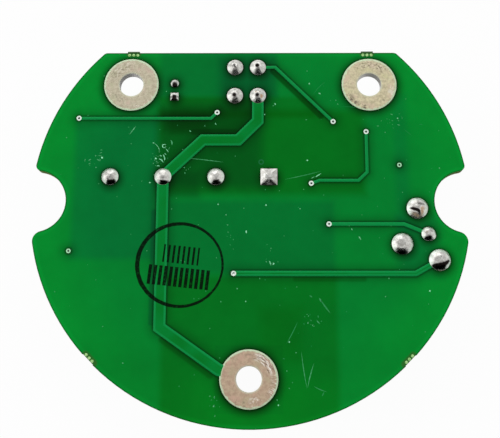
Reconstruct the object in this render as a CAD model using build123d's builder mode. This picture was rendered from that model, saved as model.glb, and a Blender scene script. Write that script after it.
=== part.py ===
from build123d import *
from math import atan2, degrees
import os

# Round control board with its components hanging below it, in millimetres.
# Origin: centre of the circle through the mounting holes, on the solder face.
# +X runs along the flat edge, +Y towards the flat edge, +Z out of the solder face.

# Laminate outline
board_thickness = 1.6
outline_radius = 39.06
outline_centre_y = -0.2
flat_edge_y = 28.2
flat_corner_radius = 1.0
notch_offset = 38.45
notch_radius = 5.65
notch_upper_lip = 1.0
notch_lower_lip = 1.8

# Break-off tabs: three small holes beside each torn tab
stub_x = 21.6
stub_width = 2.2
stub_height = 0.28
scar_angles = (225, 315)
scar_width = 2.6
scar_depth = 0.12
perforation_radius = 0.24
perforation_pitch = 0.76
perforation_inset = 0.42

# Mounting holes and their plated rings
mounting_circle_radius = 30.97
upper_hole_angle = 45.2
mounting_hole_radius = 2.2
mounting_ring_radius = 5.0

# Copper: foil on both faces, plating in the holes
copper = 0.06
plating = 0.1
ring_wall = 0.2                         # the screw holes have a heavier wall
seat = -(board_thickness + copper)      # what is soldered in stands on the lower foil
stand_height = 12.8                     # terminal strip, header and jack are all this tall
foot = seat - stand_height

# Terminal strip: four screw terminals in a row
terminal_count = 4
terminal_pitch = 9.5
terminal_first_x = -25.05
terminal_row_y = 4.5
terminal_leg = (1.3, 0.8)
terminal_hole_radius = 0.98
terminal_pad_radius = 1.5

# Power header: two rows of two pins
header_x = -0.65
header_y = 22.58
header_pitch = 4.2
header_row_gap = 5.5
header_pin_side = 1.07
header_hole_radius = 0.88
header_pad_radius = 1.45

# Two-pin header
jumper_x = -13.83
jumper_y = 20.95
jumper_pitch = 2.54
jumper_pin_side = 0.64
jumper_hole_radius = 0.5
jumper_pad_radius = 0.74

# Coaxial jack: a centre contact and three legs, turned off the square
jack_x = 31.46
jack_y = -5.85
jack_turn = 21
jack_leg_circle = 4.96
jack_leg_radius = 0.85
jack_leg_hole_radius = 1.05
jack_leg_pad_radius = 1.86
jack_tail_radius = 0.45
jack_tail_hole_radius = 0.6
jack_tail_pad_radius = 1.22

# Vias
via_hole_radius = 0.2
via_plating = 0.05
via_pad_radius = 0.46
small_via_pad_radius = 0.4
left_via = (-31.15, 15.5)
upper_via = (-5.97, 16.6)
right_via = (15.1, 14.86)
far_right_via = (21.03, 12.94)
middle_via = (11.02, 3.3)
signal_via = (14.05, -4.1)
return_via = (-2.73, -12.92)
lower_left_via = (-31.83, -9.0)
edge_via = (26.82, 6.7)
track_vias = (left_via, upper_via, right_via, far_right_via, middle_via, signal_via, return_via)
lone_vias = (lower_left_via, edge_via)

# Tracks
earth_width = 2.05
link_width = 0.56
signal_width = 0.66
return_width = 0.94

os.makedirs("parts", exist_ok=True)


def polar_point(radius, angle):
    point = Vector(radius, 0).rotate(Axis.Z, angle)
    return (point.X, point.Y)


mounting_points = {
    "left": polar_point(mounting_circle_radius, 180 - upper_hole_angle),
    "right": polar_point(mounting_circle_radius, upper_hole_angle),
    "bottom": polar_point(mounting_circle_radius, 270),
}
terminal_points = [
    (terminal_first_x + index * terminal_pitch, terminal_row_y) for index in range(terminal_count)
]
header_points = [
    (header_x + side * header_pitch / 2, header_y + row * header_row_gap / 2)
    for row in (1, -1)
    for side in (-1, 1)
]
jumper_points = [(jumper_x, jumper_y + side * jumper_pitch / 2) for side in (1, -1)]
jack_plane = Plane(
    origin=(jack_x, jack_y, 0), x_dir=Vector(1, 0, 0).rotate(Axis.Z, 180 + jack_turn), z_dir=(0, 0, 1)
)
jack_leg_places = ((jack_leg_circle, 0), (0, jack_leg_circle), (0, -jack_leg_circle))
jack_leg_points = []
for place in jack_leg_places:
    leg_centre = jack_plane.from_local_coords(Vector(*place))
    jack_leg_points.append((leg_centre.X, leg_centre.Y))
square_points = (terminal_points[-1], jumper_points[-1])        # pin 1 has a square pad

# Every soldered hole: centre, bore inside its plating, pad radius
soldered_holes = (
    [(point, terminal_hole_radius, terminal_pad_radius) for point in terminal_points]
    + [(point, header_hole_radius, header_pad_radius) for point in header_points]
    + [(point, jumper_hole_radius, jumper_pad_radius) for point in jumper_points]
    + [(point, jack_leg_hole_radius, jack_leg_pad_radius) for point in jack_leg_points]
    + [((jack_x, jack_y), jack_tail_hole_radius, jack_tail_pad_radius)]
)
via_pads = [(point, via_pad_radius) for point in track_vias]
via_pads += [(point, small_via_pad_radius) for point in lone_vias]


def upright_plane(point):
    """Plane through a hole's axis: its x is the radius, its y is height."""
    return Plane(origin=(point[0], point[1], 0), x_dir=(1, 0, 0), z_dir=(0, -1, 0))


def draw_run(points, width):
    """Draw a track: round-ended runs through the points."""
    for start, end in zip(points, points[1:]):
        across = Vector(*end) - Vector(*start)
        middle = (Vector(*end) + Vector(*start)) / 2
        with Locations(Location(middle, (0, 0, degrees(atan2(across.Y, across.X))))):
            SlotCenterToCenter(across.length, width)


def clear_pads():
    """Take the pads, vias and mounting rings out of a track's sketch."""
    for point, bore, pad in soldered_holes:
        with Locations(point):
            if point in square_points:
                Rectangle(2 * pad, 2 * pad, mode=Mode.SUBTRACT)
            else:
                Circle(pad, mode=Mode.SUBTRACT)
    for point, pad in via_pads:
        with Locations(point):
            Circle(pad, mode=Mode.SUBTRACT)
    for point in mounting_points.values():
        with Locations(point):
            Circle(mounting_ring_radius, mode=Mode.SUBTRACT)


def turned_eyelet(point, bore, pad, wall):
    """Revolve a plated hole: a pad on each face joined by the barrel."""
    with BuildSketch(upright_plane(point)) as section:
        with BuildLine():
            Polyline(
                (bore, copper),
                (pad, copper),
                (pad, 0),
                (bore + wall, 0),
                (bore + wall, -board_thickness),
                (pad, -board_thickness),
                (pad, seat),
                (bore, seat),
                close=True,
            )
        make_face()
    revolve(section.sketch, axis=Axis((point[0], point[1], 0), (0, 0, 1)))


def turned_joint(point, bore, pad, height, flank):
    """Revolve a solder joint: it fills the bore and rises from the pad through the flank to its crown."""
    with BuildSketch(upright_plane(point)) as section:
        with BuildLine():
            Polyline((0, height), (0, seat), (bore, seat), (bore, copper), (pad, copper))
            Spline((pad, copper), *flank, (0, height), tangents=((-1, 1.4), (-1, 0)))
        make_face()
    revolve(section.sketch, axis=Axis((point[0], point[1], 0), (0, 0, 1)))


# ---- board ----
with BuildPart() as board:
    with BuildSketch(Plane.XY.offset(-board_thickness)) as outline:
        with Locations((0, outline_centre_y)):
            Circle(outline_radius)
        with Locations((0, flat_edge_y)):
            Rectangle(
                2 * outline_radius, outline_radius, align=(Align.CENTER, Align.MIN), mode=Mode.SUBTRACT
            )
        with Locations((-notch_offset, 0), (notch_offset, 0)):
            Circle(notch_radius, mode=Mode.SUBTRACT)
        flat_corners = outline.vertices().filter_by_position(Axis.Y, flat_edge_y - 1, flat_edge_y + 1)
        fillet(flat_corners, flat_corner_radius)
        fillet(outline.vertices().filter_by_position(Axis.Y, 3, 9), notch_upper_lip)
        fillet(outline.vertices().filter_by_position(Axis.Y, -9, -3), notch_lower_lip)
        with Locations((-stub_x, flat_edge_y), (stub_x, flat_edge_y)):
            Rectangle(stub_width, 2 * stub_height)
        with Locations((-stub_x, flat_edge_y), (stub_x, flat_edge_y)):
            with Locations((0, -perforation_inset)):
                with GridLocations(perforation_pitch, 0, 3, 1):
                    Circle(perforation_radius, mode=Mode.SUBTRACT)
        for angle in scar_angles:
            with Locations((0, outline_centre_y)):
                with PolarLocations(outline_radius, 1, start_angle=angle):
                    Rectangle(2 * scar_depth, scar_width, mode=Mode.SUBTRACT)
                with PolarLocations(outline_radius - perforation_inset, 1, start_angle=angle):
                    with GridLocations(0, perforation_pitch, 1, 3):
                        Circle(perforation_radius, mode=Mode.SUBTRACT)
        with Locations(*mounting_points.values()):
            Circle(mounting_hole_radius + ring_wall, mode=Mode.SUBTRACT)
        for point, bore, pad in soldered_holes:
            with Locations(point):
                Circle(bore + plating, mode=Mode.SUBTRACT)
        for point, pad in via_pads:
            with Locations(point):
                Circle(via_hole_radius + via_plating, mode=Mode.SUBTRACT)
    extrude(amount=board_thickness)
board.part.label = "board"
export_step(board.part, "parts/board.step")

# ---- mounting rings: a tinned pad on each face and the plated wall between them ----
for side, point in mounting_points.items():
    with BuildPart() as mounting_ring:
        turned_eyelet(point, mounting_hole_radius, mounting_ring_radius, ring_wall)
    mounting_ring.part.label = "mounting_ring_" + side
    export_step(mounting_ring.part, "parts/mounting_ring_" + side + ".step")

# ---- tracks on the solder face ----
second_terminal = terminal_points[1]
signal_end = (jack_x, jack_y)
return_end = jack_leg_points[1]
solder_side_tracks = {
    "earth_track": (
        earth_width,
        (
            header_points[3],
            (header_points[3][0], 15.0),
            (-2.1, 11.38),
            (-8.45, 11.38),
            second_terminal,
            (second_terminal[0] + 0.1, -22.3),
            (-5.2, -29.4),
            mounting_points["bottom"],
        ),
    ),
    "left_link_track": (link_width, (left_via, (-7.08, 15.48), upper_via)),
    "header_link_track": (link_width, (header_points[1], (4.62, 25.4), right_via)),
    "right_link_track": (link_width, (far_right_via, (21.03, 5.4), (19.46, 3.86), (12.5, 3.86), middle_via)),
    "jack_signal_track": (signal_width, (signal_via, (27.26, -4.08), (30.35, -5.36), signal_end)),
    "jack_return_track": (return_width, (return_via, (29.0, -12.86), return_end)),
}
for name, (width, points) in solder_side_tracks.items():
    with BuildPart() as track:
        with BuildSketch(Plane.XY):
            draw_run(points, width)
            clear_pads()
        extrude(amount=copper)
    track.part.label = name
    export_step(track.part, "parts/" + name + ".step")

# ---- plated holes and vias ----
with BuildPart() as plated_holes:
    for point, bore, pad in soldered_holes:
        if point in square_points:
            with BuildSketch(Plane.XY.offset(seat)):
                with Locations(point):
                    Circle(bore + plating)
            extrude(amount=board_thickness + copper)
            with BuildSketch(Plane.XY, Plane.XY.offset(seat)):
                with Locations(point):
                    Rectangle(2 * pad, 2 * pad)
            extrude(amount=copper)
            with BuildSketch(Plane.XY.offset(seat)):
                with Locations(point):
                    Circle(bore)
            extrude(amount=board_thickness + 2 * copper, mode=Mode.SUBTRACT)
        else:
            turned_eyelet(point, bore, pad, plating)
plated_holes.part.label = "plated_holes"
export_step(plated_holes.part, "parts/plated_holes.step")

with BuildPart() as via_barrels:
    for point, pad in via_pads:
        turned_eyelet(point, via_hole_radius, pad, via_plating)
via_barrels.part.label = "via_barrels"
export_step(via_barrels.part, "parts/via_barrels.step")

# ---- solder joints ----
terminal_tip = 0.6
header_tip = 0.3
jumper_tip = 0.2
jack_leg_tip = 0.7
jack_tail_tip = 0.5

with BuildPart() as terminal_solder:
    for point in terminal_points:
        if point in square_points:
            with BuildSketch(Plane.XY.offset(copper)):
                with Locations(point):
                    RectangleRounded(2 * terminal_pad_radius - 0.1, 2 * terminal_pad_radius - 0.1, 0.3)
            with BuildSketch(Plane.XY.offset(0.8)):
                with Locations(point):
                    RectangleRounded(1.5, 1.3, 0.4)
            loft()
            with BuildSketch(Plane.XY.offset(seat)):
                with Locations(point):
                    Circle(terminal_hole_radius)
            extrude(amount=copper - seat)
        else:
            turned_joint(point, terminal_hole_radius, terminal_pad_radius, 0.8, ((1.27, 0.34), (0.9, 0.64)))
    with BuildSketch(Plane.XY.offset(seat)):
        with Locations(*terminal_points):
            Rectangle(*terminal_leg)
    extrude(amount=terminal_tip - seat, mode=Mode.SUBTRACT)
terminal_solder.part.label = "terminal_solder"
export_step(terminal_solder.part, "parts/terminal_solder.step")

with BuildPart() as header_solder:
    for point in header_points:
        turned_joint(point, header_hole_radius, header_pad_radius, 0.85, ((1.1, 0.32), (0.6, 0.62)))
    with BuildSketch(Plane.XY.offset(seat)):
        with Locations(*header_points):
            Rectangle(header_pin_side, header_pin_side)
    extrude(amount=header_tip - seat, mode=Mode.SUBTRACT)
header_solder.part.label = "header_solder"
export_step(header_solder.part, "parts/header_solder.step")

with BuildPart() as jumper_solder:
    for point in jumper_points:
        turned_joint(point, jumper_hole_radius, jumper_pad_radius, 0.45, ((0.6, 0.22), (0.35, 0.38)))
    with BuildSketch(Plane.XY.offset(seat)):
        with Locations(*jumper_points):
            Rectangle(jumper_pin_side, jumper_pin_side)
    extrude(amount=jumper_tip - seat, mode=Mode.SUBTRACT)
jumper_solder.part.label = "jumper_solder"
export_step(jumper_solder.part, "parts/jumper_solder.step")

with BuildPart() as jack_solder:
    for point in jack_leg_points:
        turned_joint(point, jack_leg_hole_radius, jack_leg_pad_radius, 0.98, ((1.57, 0.42), (1.1, 0.78)))
    turned_joint(signal_end, jack_tail_hole_radius, jack_tail_pad_radius, 0.78, ((1.0, 0.33), (0.68, 0.6)))
    with BuildSketch(Plane.XY.offset(seat)):
        with Locations(*jack_leg_points):
            Circle(jack_leg_radius)
    extrude(amount=jack_leg_tip - seat, mode=Mode.SUBTRACT)
    with BuildSketch(Plane.XY.offset(seat)):
        with Locations(signal_end):
            Circle(jack_tail_radius)
    extrude(amount=jack_tail_tip - seat, mode=Mode.SUBTRACT)
jack_solder.part.label = "jack_solder"
export_step(jack_solder.part, "parts/jack_solder.step")

# ---- terminal strip ----
strip_front = -4.8
strip_back = 6.6
deck = seat - 6.2                       # the plates lie on this face
barrier = 1.5
back_wall = 1.3
bay_depth = strip_back - back_wall - strip_front
plate_thickness = 1.0
plate_width = 7.5
plate_front = -4.3
screw_y = -0.35
screw_radius = 1.75
screw_head_radius = 3.2
screw_head_height = 2.3
screw_length = 4.6
strip_centre_x = (terminal_points[0][0] + terminal_points[-1][0]) / 2
strip_length = terminal_count * terminal_pitch + barrier

with BuildPart() as terminal_base:
    with BuildSketch(Plane.YZ.offset(strip_centre_x - strip_length / 2)) as strip_section:
        with BuildLine():
            Polyline(
                (strip_front, seat),
                (strip_front, foot + 4.6),
                (strip_front + 3.2, foot),
                (strip_back, foot),
                (strip_back, seat),
                close=True,
            )
        make_face()
        fillet(strip_section.vertices().group_by(Axis.Z)[0], 0.8)
    extrude(amount=strip_length)
    # A bay for each terminal, open at the front and below
    with BuildSketch(Plane.XY.offset(foot)):
        with Locations(*[(point[0], strip_front) for point in terminal_points]):
            Rectangle(terminal_pitch - barrier, bay_depth, align=(Align.CENTER, Align.MIN))
    extrude(amount=deck - foot, mode=Mode.SUBTRACT)
    # Wire lead-in along the front edge of each bay
    with BuildSketch(Plane.XY.offset(deck)):
        with Locations(*[(point[0], strip_front) for point in terminal_points]):
            Rectangle(5.0, 0.9, align=(Align.CENTER, Align.MIN))
    extrude(amount=2.4, mode=Mode.SUBTRACT)
    # Screw wells and the slots for the legs
    with BuildSketch(Plane.XY.offset(deck)):
        with Locations(*[(point[0], screw_y) for point in terminal_points]):
            Circle(screw_radius + 0.35)
    extrude(amount=screw_length - plate_thickness + 0.4, mode=Mode.SUBTRACT)
    with BuildSketch(Plane.XY.offset(deck)):
        with Locations(*terminal_points):
            Rectangle(*terminal_leg)
    extrude(amount=seat - deck, mode=Mode.SUBTRACT)
terminal_base.part.label = "terminal_base"
export_step(terminal_base.part, "parts/terminal_base.step")

for number, point in enumerate(terminal_points, start=1):
    with BuildPart() as terminal_plate:
        # One strip of tinned brass: the plate under the screw, bent up into the leg
        leg_back = terminal_row_y + terminal_leg[1] / 2
        with BuildSketch(Plane.XY.offset(deck - plate_thickness)) as plate_outline:
            with Locations((point[0], plate_front)):
                Rectangle(plate_width, leg_back - plate_front, align=(Align.CENTER, Align.MIN))
            chamfer(plate_outline.vertices(), 0.6)
            with Locations((point[0], screw_y)):
                Circle(screw_radius, mode=Mode.SUBTRACT)
        extrude(amount=plate_thickness)
        with BuildSketch(Plane.XY.offset(deck)):
            with Locations(point):
                Rectangle(*terminal_leg)
        extrude(amount=terminal_tip - deck)
        chamfer(terminal_plate.faces().sort_by(Axis.Z)[-1].edges(), 0.2)
    terminal_plate.part.label = "terminal_plate_" + str(number)
    export_step(terminal_plate.part, "parts/terminal_plate_" + str(number) + ".step")

with BuildPart() as terminal_screws:
    head_top = deck - plate_thickness - screw_head_height
    for point in terminal_points:
        with BuildSketch(upright_plane((point[0], screw_y))):
            with BuildLine():
                Polyline(
                    (0, head_top),
                    (0, head_top + screw_head_height + screw_length - 0.4),
                    (screw_radius - 0.4, head_top + screw_head_height + screw_length - 0.4),
                    (screw_radius, head_top + screw_head_height + screw_length - 0.8),
                    (screw_radius, head_top + screw_head_height),
                    (screw_head_radius, head_top + screw_head_height),
                    (screw_head_radius, head_top + 0.9),
                )
                ThreePointArc((screw_head_radius, head_top + 0.9), (2.6, head_top + 0.24), (1.4, head_top))
                Line((1.4, head_top), (0, head_top))
            make_face()
        revolve(axis=Axis((point[0], screw_y, 0), (0, 0, 1)))
    # Combined slot and cross recess
    with BuildSketch(Plane.XY.offset(head_top)):
        with Locations(*[(point[0], screw_y) for point in terminal_points]):
            Rectangle(2 * screw_head_radius, 0.9)
            Rectangle(0.9, 3.6)
    extrude(amount=1.2, mode=Mode.SUBTRACT)
terminal_screws.part.label = "terminal_screws"
export_step(terminal_screws.part, "parts/terminal_screws.step")

# ---- power header ----
header_width = 9.6
header_depth = 9.6
header_cell = 3.5
header_cell_y = 2.5
header_floor = 3.0
header_pin_recess = 1.8
latch_width = 3.4
latch_reach = 1.4
header_front = header_y - header_depth / 2

with BuildPart() as header_housing:
    with BuildSketch(Plane.XY.offset(foot)):
        with Locations((header_x, header_y)):
            RectangleRounded(header_width, header_depth, 0.5)
    extrude(amount=stand_height)
    # Four cells round the pins: two are square, two have cut corners so that the plug fits one way
    with BuildSketch(Plane.XY.offset(foot)):
        with Locations((header_x, header_y)):
            with Locations((-header_pitch / 2, header_cell_y), (header_pitch / 2, -header_cell_y)):
                Rectangle(header_cell, header_cell)
    extrude(amount=stand_height - header_floor, mode=Mode.SUBTRACT)
    with BuildSketch(Plane.XY.offset(foot)) as cut_cells:
        with Locations((header_x, header_y)):
            with Locations((header_pitch / 2, header_cell_y), (-header_pitch / 2, -header_cell_y)):
                Rectangle(header_cell, header_cell)
        chamfer(cut_cells.vertices(), 0.95)
    extrude(amount=stand_height - header_floor, mode=Mode.SUBTRACT)
    # Latch ramp on the inner side
    with BuildSketch(Plane.YZ.offset(header_x - latch_width / 2)):
        with BuildLine():
            Polyline(
                (header_front + 0.1, foot + 1.0),
                (header_front, foot + 1.0),
                (header_front - latch_reach, foot + 3.6),
                (header_front - latch_reach, foot + 4.6),
                (header_front, foot + 4.6),
                (header_front + 0.1, foot + 4.6),
                close=True,
            )
        make_face()
    extrude(amount=latch_width)
    # Side ribs that guide the plug's latch
    with BuildSketch(Plane.XY.offset(foot + 5.0)):
        for side in (-1, 1):
            with Locations((header_x + side * 3.3, header_front)):
                Rectangle(1.0, 1.2)
    extrude(amount=stand_height - 5.0)
    with BuildSketch(Plane.XY.offset(foot)):
        with Locations(*header_points):
            Rectangle(header_pin_side, header_pin_side)
    extrude(amount=stand_height, mode=Mode.SUBTRACT)
header_housing.part.label = "header_housing"
export_step(header_housing.part, "parts/header_housing.step")

for number, point in enumerate(header_points, start=1):
    with BuildPart() as header_pin:
        with BuildSketch(Plane.XY.offset(foot + header_pin_recess)):
            with Locations(point):
                Rectangle(header_pin_side, header_pin_side)
        extrude(amount=header_tip - foot - header_pin_recess)
        chamfer(header_pin.faces().sort_by(Axis.Z)[0].edges(), length=0.8, length2=0.3)
        chamfer(header_pin.faces().sort_by(Axis.Z)[-1].edges(), 0.25)
    header_pin.part.label = "header_pin_" + str(number)
    export_step(header_pin.part, "parts/header_pin_" + str(number) + ".step")

# ---- two-pin header ----
jumper_base_height = 2.54
jumper_pin_reach = 6.0

with BuildPart() as jumper_base:
    with BuildSketch(Plane.XY.offset(seat - jumper_base_height)) as jumper_outline:
        with Locations(*jumper_points):
            Rectangle(2.5, jumper_pitch)
        chamfer(jumper_outline.vertices(), 0.45)
    extrude(amount=jumper_base_height)
    with BuildSketch(Plane.XY.offset(seat - jumper_base_height)):
        with Locations(*jumper_points):
            Rectangle(jumper_pin_side, jumper_pin_side)
    extrude(amount=jumper_base_height, mode=Mode.SUBTRACT)
jumper_base.part.label = "jumper_base"
export_step(jumper_base.part, "parts/jumper_base.step")

with BuildPart() as jumper_pins:
    with BuildSketch(Plane.XY.offset(seat - jumper_base_height - jumper_pin_reach)):
        with Locations(*jumper_points):
            Rectangle(jumper_pin_side, jumper_pin_side)
    extrude(amount=jumper_tip - seat + jumper_base_height + jumper_pin_reach)
    chamfer(jumper_pins.faces().filter_by(Axis.Z).edges(), 0.15)
jumper_pins.part.label = "jumper_pins"
export_step(jumper_pins.part, "parts/jumper_pins.step")

# ---- coaxial jack ----
flange_radius = 6.5
flange_flat = -2.8                      # cut flat beside the notch
flange_thickness = 2.2
barrel_radius = 3.175
neck_radius = 2.7
thread_pitch = 0.7056                   # 36 turns to the inch
thread_turns = 12
thread_depth = 0.36
thread_gap = 0.46                       # width of a groove at the crest
thread_start = 0.75                     # first groove, above the mouth
insulator_radius = 2.05
mouth_radius = 2.3
mouth_depth = 1.9
contact_radius = 0.635
contact_bore = 0.45
flange_face = seat - flange_thickness

with BuildPart() as jack_body:
    with BuildSketch(jack_plane.offset(flange_face)):
        Circle(flange_radius)
        with Locations((flange_flat, 0)):
            Rectangle(
                2 * flange_radius, 2 * flange_radius, align=(Align.MAX, Align.CENTER), mode=Mode.SUBTRACT
            )
    extrude(amount=flange_thickness)
    fillet(jack_body.edges().filter_by(Axis.Z), 0.6)
    with BuildSketch(jack_plane.offset(foot)):
        Circle(barrel_radius)
    extrude(amount=flange_face - foot - 1.0)
    chamfer(jack_body.edges().group_by(Axis.Z)[0], 0.35)
    # The thread, as a stack of separate rings
    with BuildSketch(Plane(origin=(jack_x, jack_y, foot + thread_start), x_dir=(1, 0, 0), z_dir=(0, -1, 0))):
        with Locations(*[(barrel_radius, turn * thread_pitch) for turn in range(thread_turns)]):
            Polygon((0, -thread_gap / 2), (0, thread_gap / 2), (-thread_depth, 0), align=None)
    revolve(axis=Axis((jack_x, jack_y, 0), (0, 0, 1)), mode=Mode.SUBTRACT)
    with BuildSketch(jack_plane.offset(flange_face - 1.0)):
        Circle(neck_radius)
    extrude(amount=1.0)
    with BuildSketch(jack_plane.offset(foot)):
        Circle(mouth_radius)
    extrude(amount=mouth_depth, mode=Mode.SUBTRACT)
    with BuildSketch(jack_plane.offset(foot)):
        Circle(insulator_radius)
    extrude(amount=stand_height, mode=Mode.SUBTRACT)
    # Legs, cast with the flange
    with BuildSketch(jack_plane.offset(seat)):
        with Locations(*jack_leg_places):
            Circle(jack_leg_radius)
    extrude(amount=jack_leg_tip - seat)
    chamfer(jack_body.faces().group_by(Axis.Z)[-1].edges(), 0.25)
jack_body.part.label = "jack_body"
export_step(jack_body.part, "parts/jack_body.step")

with BuildPart() as jack_insulator:
    with BuildSketch(jack_plane.offset(foot + mouth_depth)):
        Circle(insulator_radius)
        Circle(contact_radius, mode=Mode.SUBTRACT)
    extrude(amount=stand_height - mouth_depth)
jack_insulator.part.label = "jack_insulator"
export_step(jack_insulator.part, "parts/jack_insulator.step")

with BuildPart() as jack_contact:
    with BuildSketch(jack_plane.offset(foot + mouth_depth)):
        Circle(contact_radius)
        Circle(contact_bore, mode=Mode.SUBTRACT)
    extrude(amount=2.6)
    with BuildSketch(jack_plane.offset(foot + mouth_depth + 2.6)):
        Circle(contact_radius)
    extrude(amount=seat - foot - mouth_depth - 2.6)
    with BuildSketch(jack_plane.offset(seat)):
        Circle(jack_tail_radius)
    extrude(amount=jack_tail_tip - seat)
    # Two crossed saw cuts make four spring fingers
    with BuildSketch(jack_plane.offset(foot + mouth_depth)):
        Rectangle(2 * contact_radius, 0.2)
        Rectangle(0.2, 2 * contact_radius)
    extrude(amount=2.0, mode=Mode.SUBTRACT)
jack_contact.part.label = "jack_contact"
export_step(jack_contact.part, "parts/jack_contact.step")

# ---- surface-mounted parts on the component face ----
chip_x = 18.0
chip_y = 6.6
chip_length = 4.9
chip_width = 3.9
chip_height = 1.45
chip_lift = 0.12
chip_draft = -5
chip_lead_pitch = 1.27
chip_lead_width = 0.42
chip_lead_root = 1.85                   # where a lead starts inside the moulding
chip_pad_y = 2.7
chip_lead_x = [chip_x + (index - 1.5) * chip_lead_pitch for index in range(4)]
# Side view of a gull-wing lead: distance from the chip's centre line, height above the pads
chip_lead_profile = (
    (chip_lead_root, 0.75),
    (2.28, 0.75),
    (2.42, 0.0),
    (3.0, 0.0),
    (3.0, 0.2),
    (2.6, 0.2),
    (2.44, 0.95),
    (chip_lead_root, 0.95),
)

with BuildPart() as control_chip:
    for height, amount in ((chip_lift, -chip_height / 2), (chip_lift + chip_height, chip_height / 2)):
        with BuildSketch(Plane.XY.offset(seat - height)):
            with Locations((chip_x, chip_y)):
                Rectangle(chip_length, chip_width)
        extrude(amount=amount, taper=chip_draft)
    # Sockets in the moulding for the leads' roots
    with BuildSketch(Plane.XY.offset(seat - 0.95)):
        for side in (-1, 1):
            with Locations(*[(x, chip_y + side * (chip_lead_root + 0.25)) for x in chip_lead_x]):
                Rectangle(chip_lead_width, 0.5)
    extrude(amount=0.2, mode=Mode.SUBTRACT)
    # Dimple that marks lead 1
    with BuildSketch(Plane.XY.offset(seat - chip_lift - chip_height)):
        with Locations((chip_x - 1.6, chip_y - 1.1)):
            Circle(0.35)
    extrude(amount=0.1, mode=Mode.SUBTRACT)
control_chip.part.label = "control_chip"
export_step(control_chip.part, "parts/control_chip.step")

with BuildPart() as control_chip_leads:
    for x in chip_lead_x:
        for side in (-1, 1):
            with BuildSketch(Plane.YZ.offset(x - chip_lead_width / 2)):
                with BuildLine():
                    Polyline(
                        *[(chip_y + side * reach, seat - height) for reach, height in chip_lead_profile],
                        close=True,
                    )
                make_face()
            extrude(amount=chip_lead_width)
control_chip_leads.part.label = "control_chip_leads"
export_step(control_chip_leads.part, "parts/control_chip_leads.step")

diode_x = 1.8
diode_y = -20.0
diode_length = 4.4
diode_width = 3.6
diode_height = 2.2
diode_tab = 0.2
diode_tab_width = 2.0
diode_tab_rise = 1.2
diode_foot = 1.2
diode_end = diode_length / 2

with BuildPart() as surge_diode:
    with BuildSketch(Plane.XY.offset(seat - diode_tab - diode_height)):
        with Locations((diode_x, diode_y)):
            Rectangle(diode_length, diode_width)
    extrude(amount=diode_height)
    chamfer(surge_diode.faces().sort_by(Axis.Z)[0].edges(), 0.35)
    # Shallow groove along the polarity end
    with BuildSketch(Plane.XY.offset(seat - diode_tab - diode_height)):
        with Locations((diode_x - 1.2, diode_y)):
            Rectangle(0.4, diode_width - 0.9)
    extrude(amount=0.08, mode=Mode.SUBTRACT)
surge_diode.part.label = "surge_diode"
export_step(surge_diode.part, "parts/surge_diode.step")

with BuildPart() as surge_diode_tabs:
    for side in (-1, 1):
        with BuildSketch(Plane.XZ.offset(-diode_y - diode_tab_width / 2)):
            with BuildLine():
                Polyline(
                    (diode_x + side * (diode_end - diode_foot), seat),
                    (diode_x + side * (diode_end + diode_tab), seat),
                    (diode_x + side * (diode_end + diode_tab), seat - diode_tab_rise),
                    (diode_x + side * diode_end, seat - diode_tab_rise),
                    (diode_x + side * diode_end, seat - diode_tab),
                    (diode_x + side * (diode_end - diode_foot), seat - diode_tab),
                    close=True,
                )
            make_face()
        extrude(amount=diode_tab_width)
surge_diode_tabs.part.label = "surge_diode_tabs"
export_step(surge_diode_tabs.part, "parts/surge_diode_tabs.step")

# Ceramic chips that lie along Y between two metal end caps
ceramic_length = 3.2
ceramic_width = 1.6
cap_length = 0.5
cap_proud = 0.03                        # the caps stand this proud of the ceramic all round
resistor_height = 0.6
capacitor_height = 1.25
resistor_points = ((9.0, -8.6), (12.2, -8.6), (24.6, 14.6))
capacitor_points = ((13.2, 8.6), (23.4, 6.2), (-26.4, -8.6))
cap_reach = (ceramic_length - cap_length) / 2
ceramic_kinds = {
    "resistor": (resistor_points, resistor_height),
    "capacitor": (capacitor_points, capacitor_height),
}
for kind, (points, height) in ceramic_kinds.items():
    with BuildPart() as ceramics:
        with BuildSketch(Plane.XY.offset(seat - height + cap_proud)):
            with Locations(*points):
                Rectangle(ceramic_width - 2 * cap_proud, ceramic_length - 2 * cap_length)
        extrude(amount=height - 2 * cap_proud)
    ceramics.part.label = "chip_" + kind + "s"
    export_step(ceramics.part, "parts/chip_" + kind + "s.step")

    with BuildPart() as end_caps:
        with BuildSketch(Plane.XY.offset(seat - height)):
            with Locations(*points):
                with Locations((0, -cap_reach), (0, cap_reach)):
                    Rectangle(ceramic_width, cap_length)
        extrude(amount=height)
    end_caps.part.label = kind + "_end_caps"
    export_step(end_caps.part, "parts/" + kind + "_end_caps.step")

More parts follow.
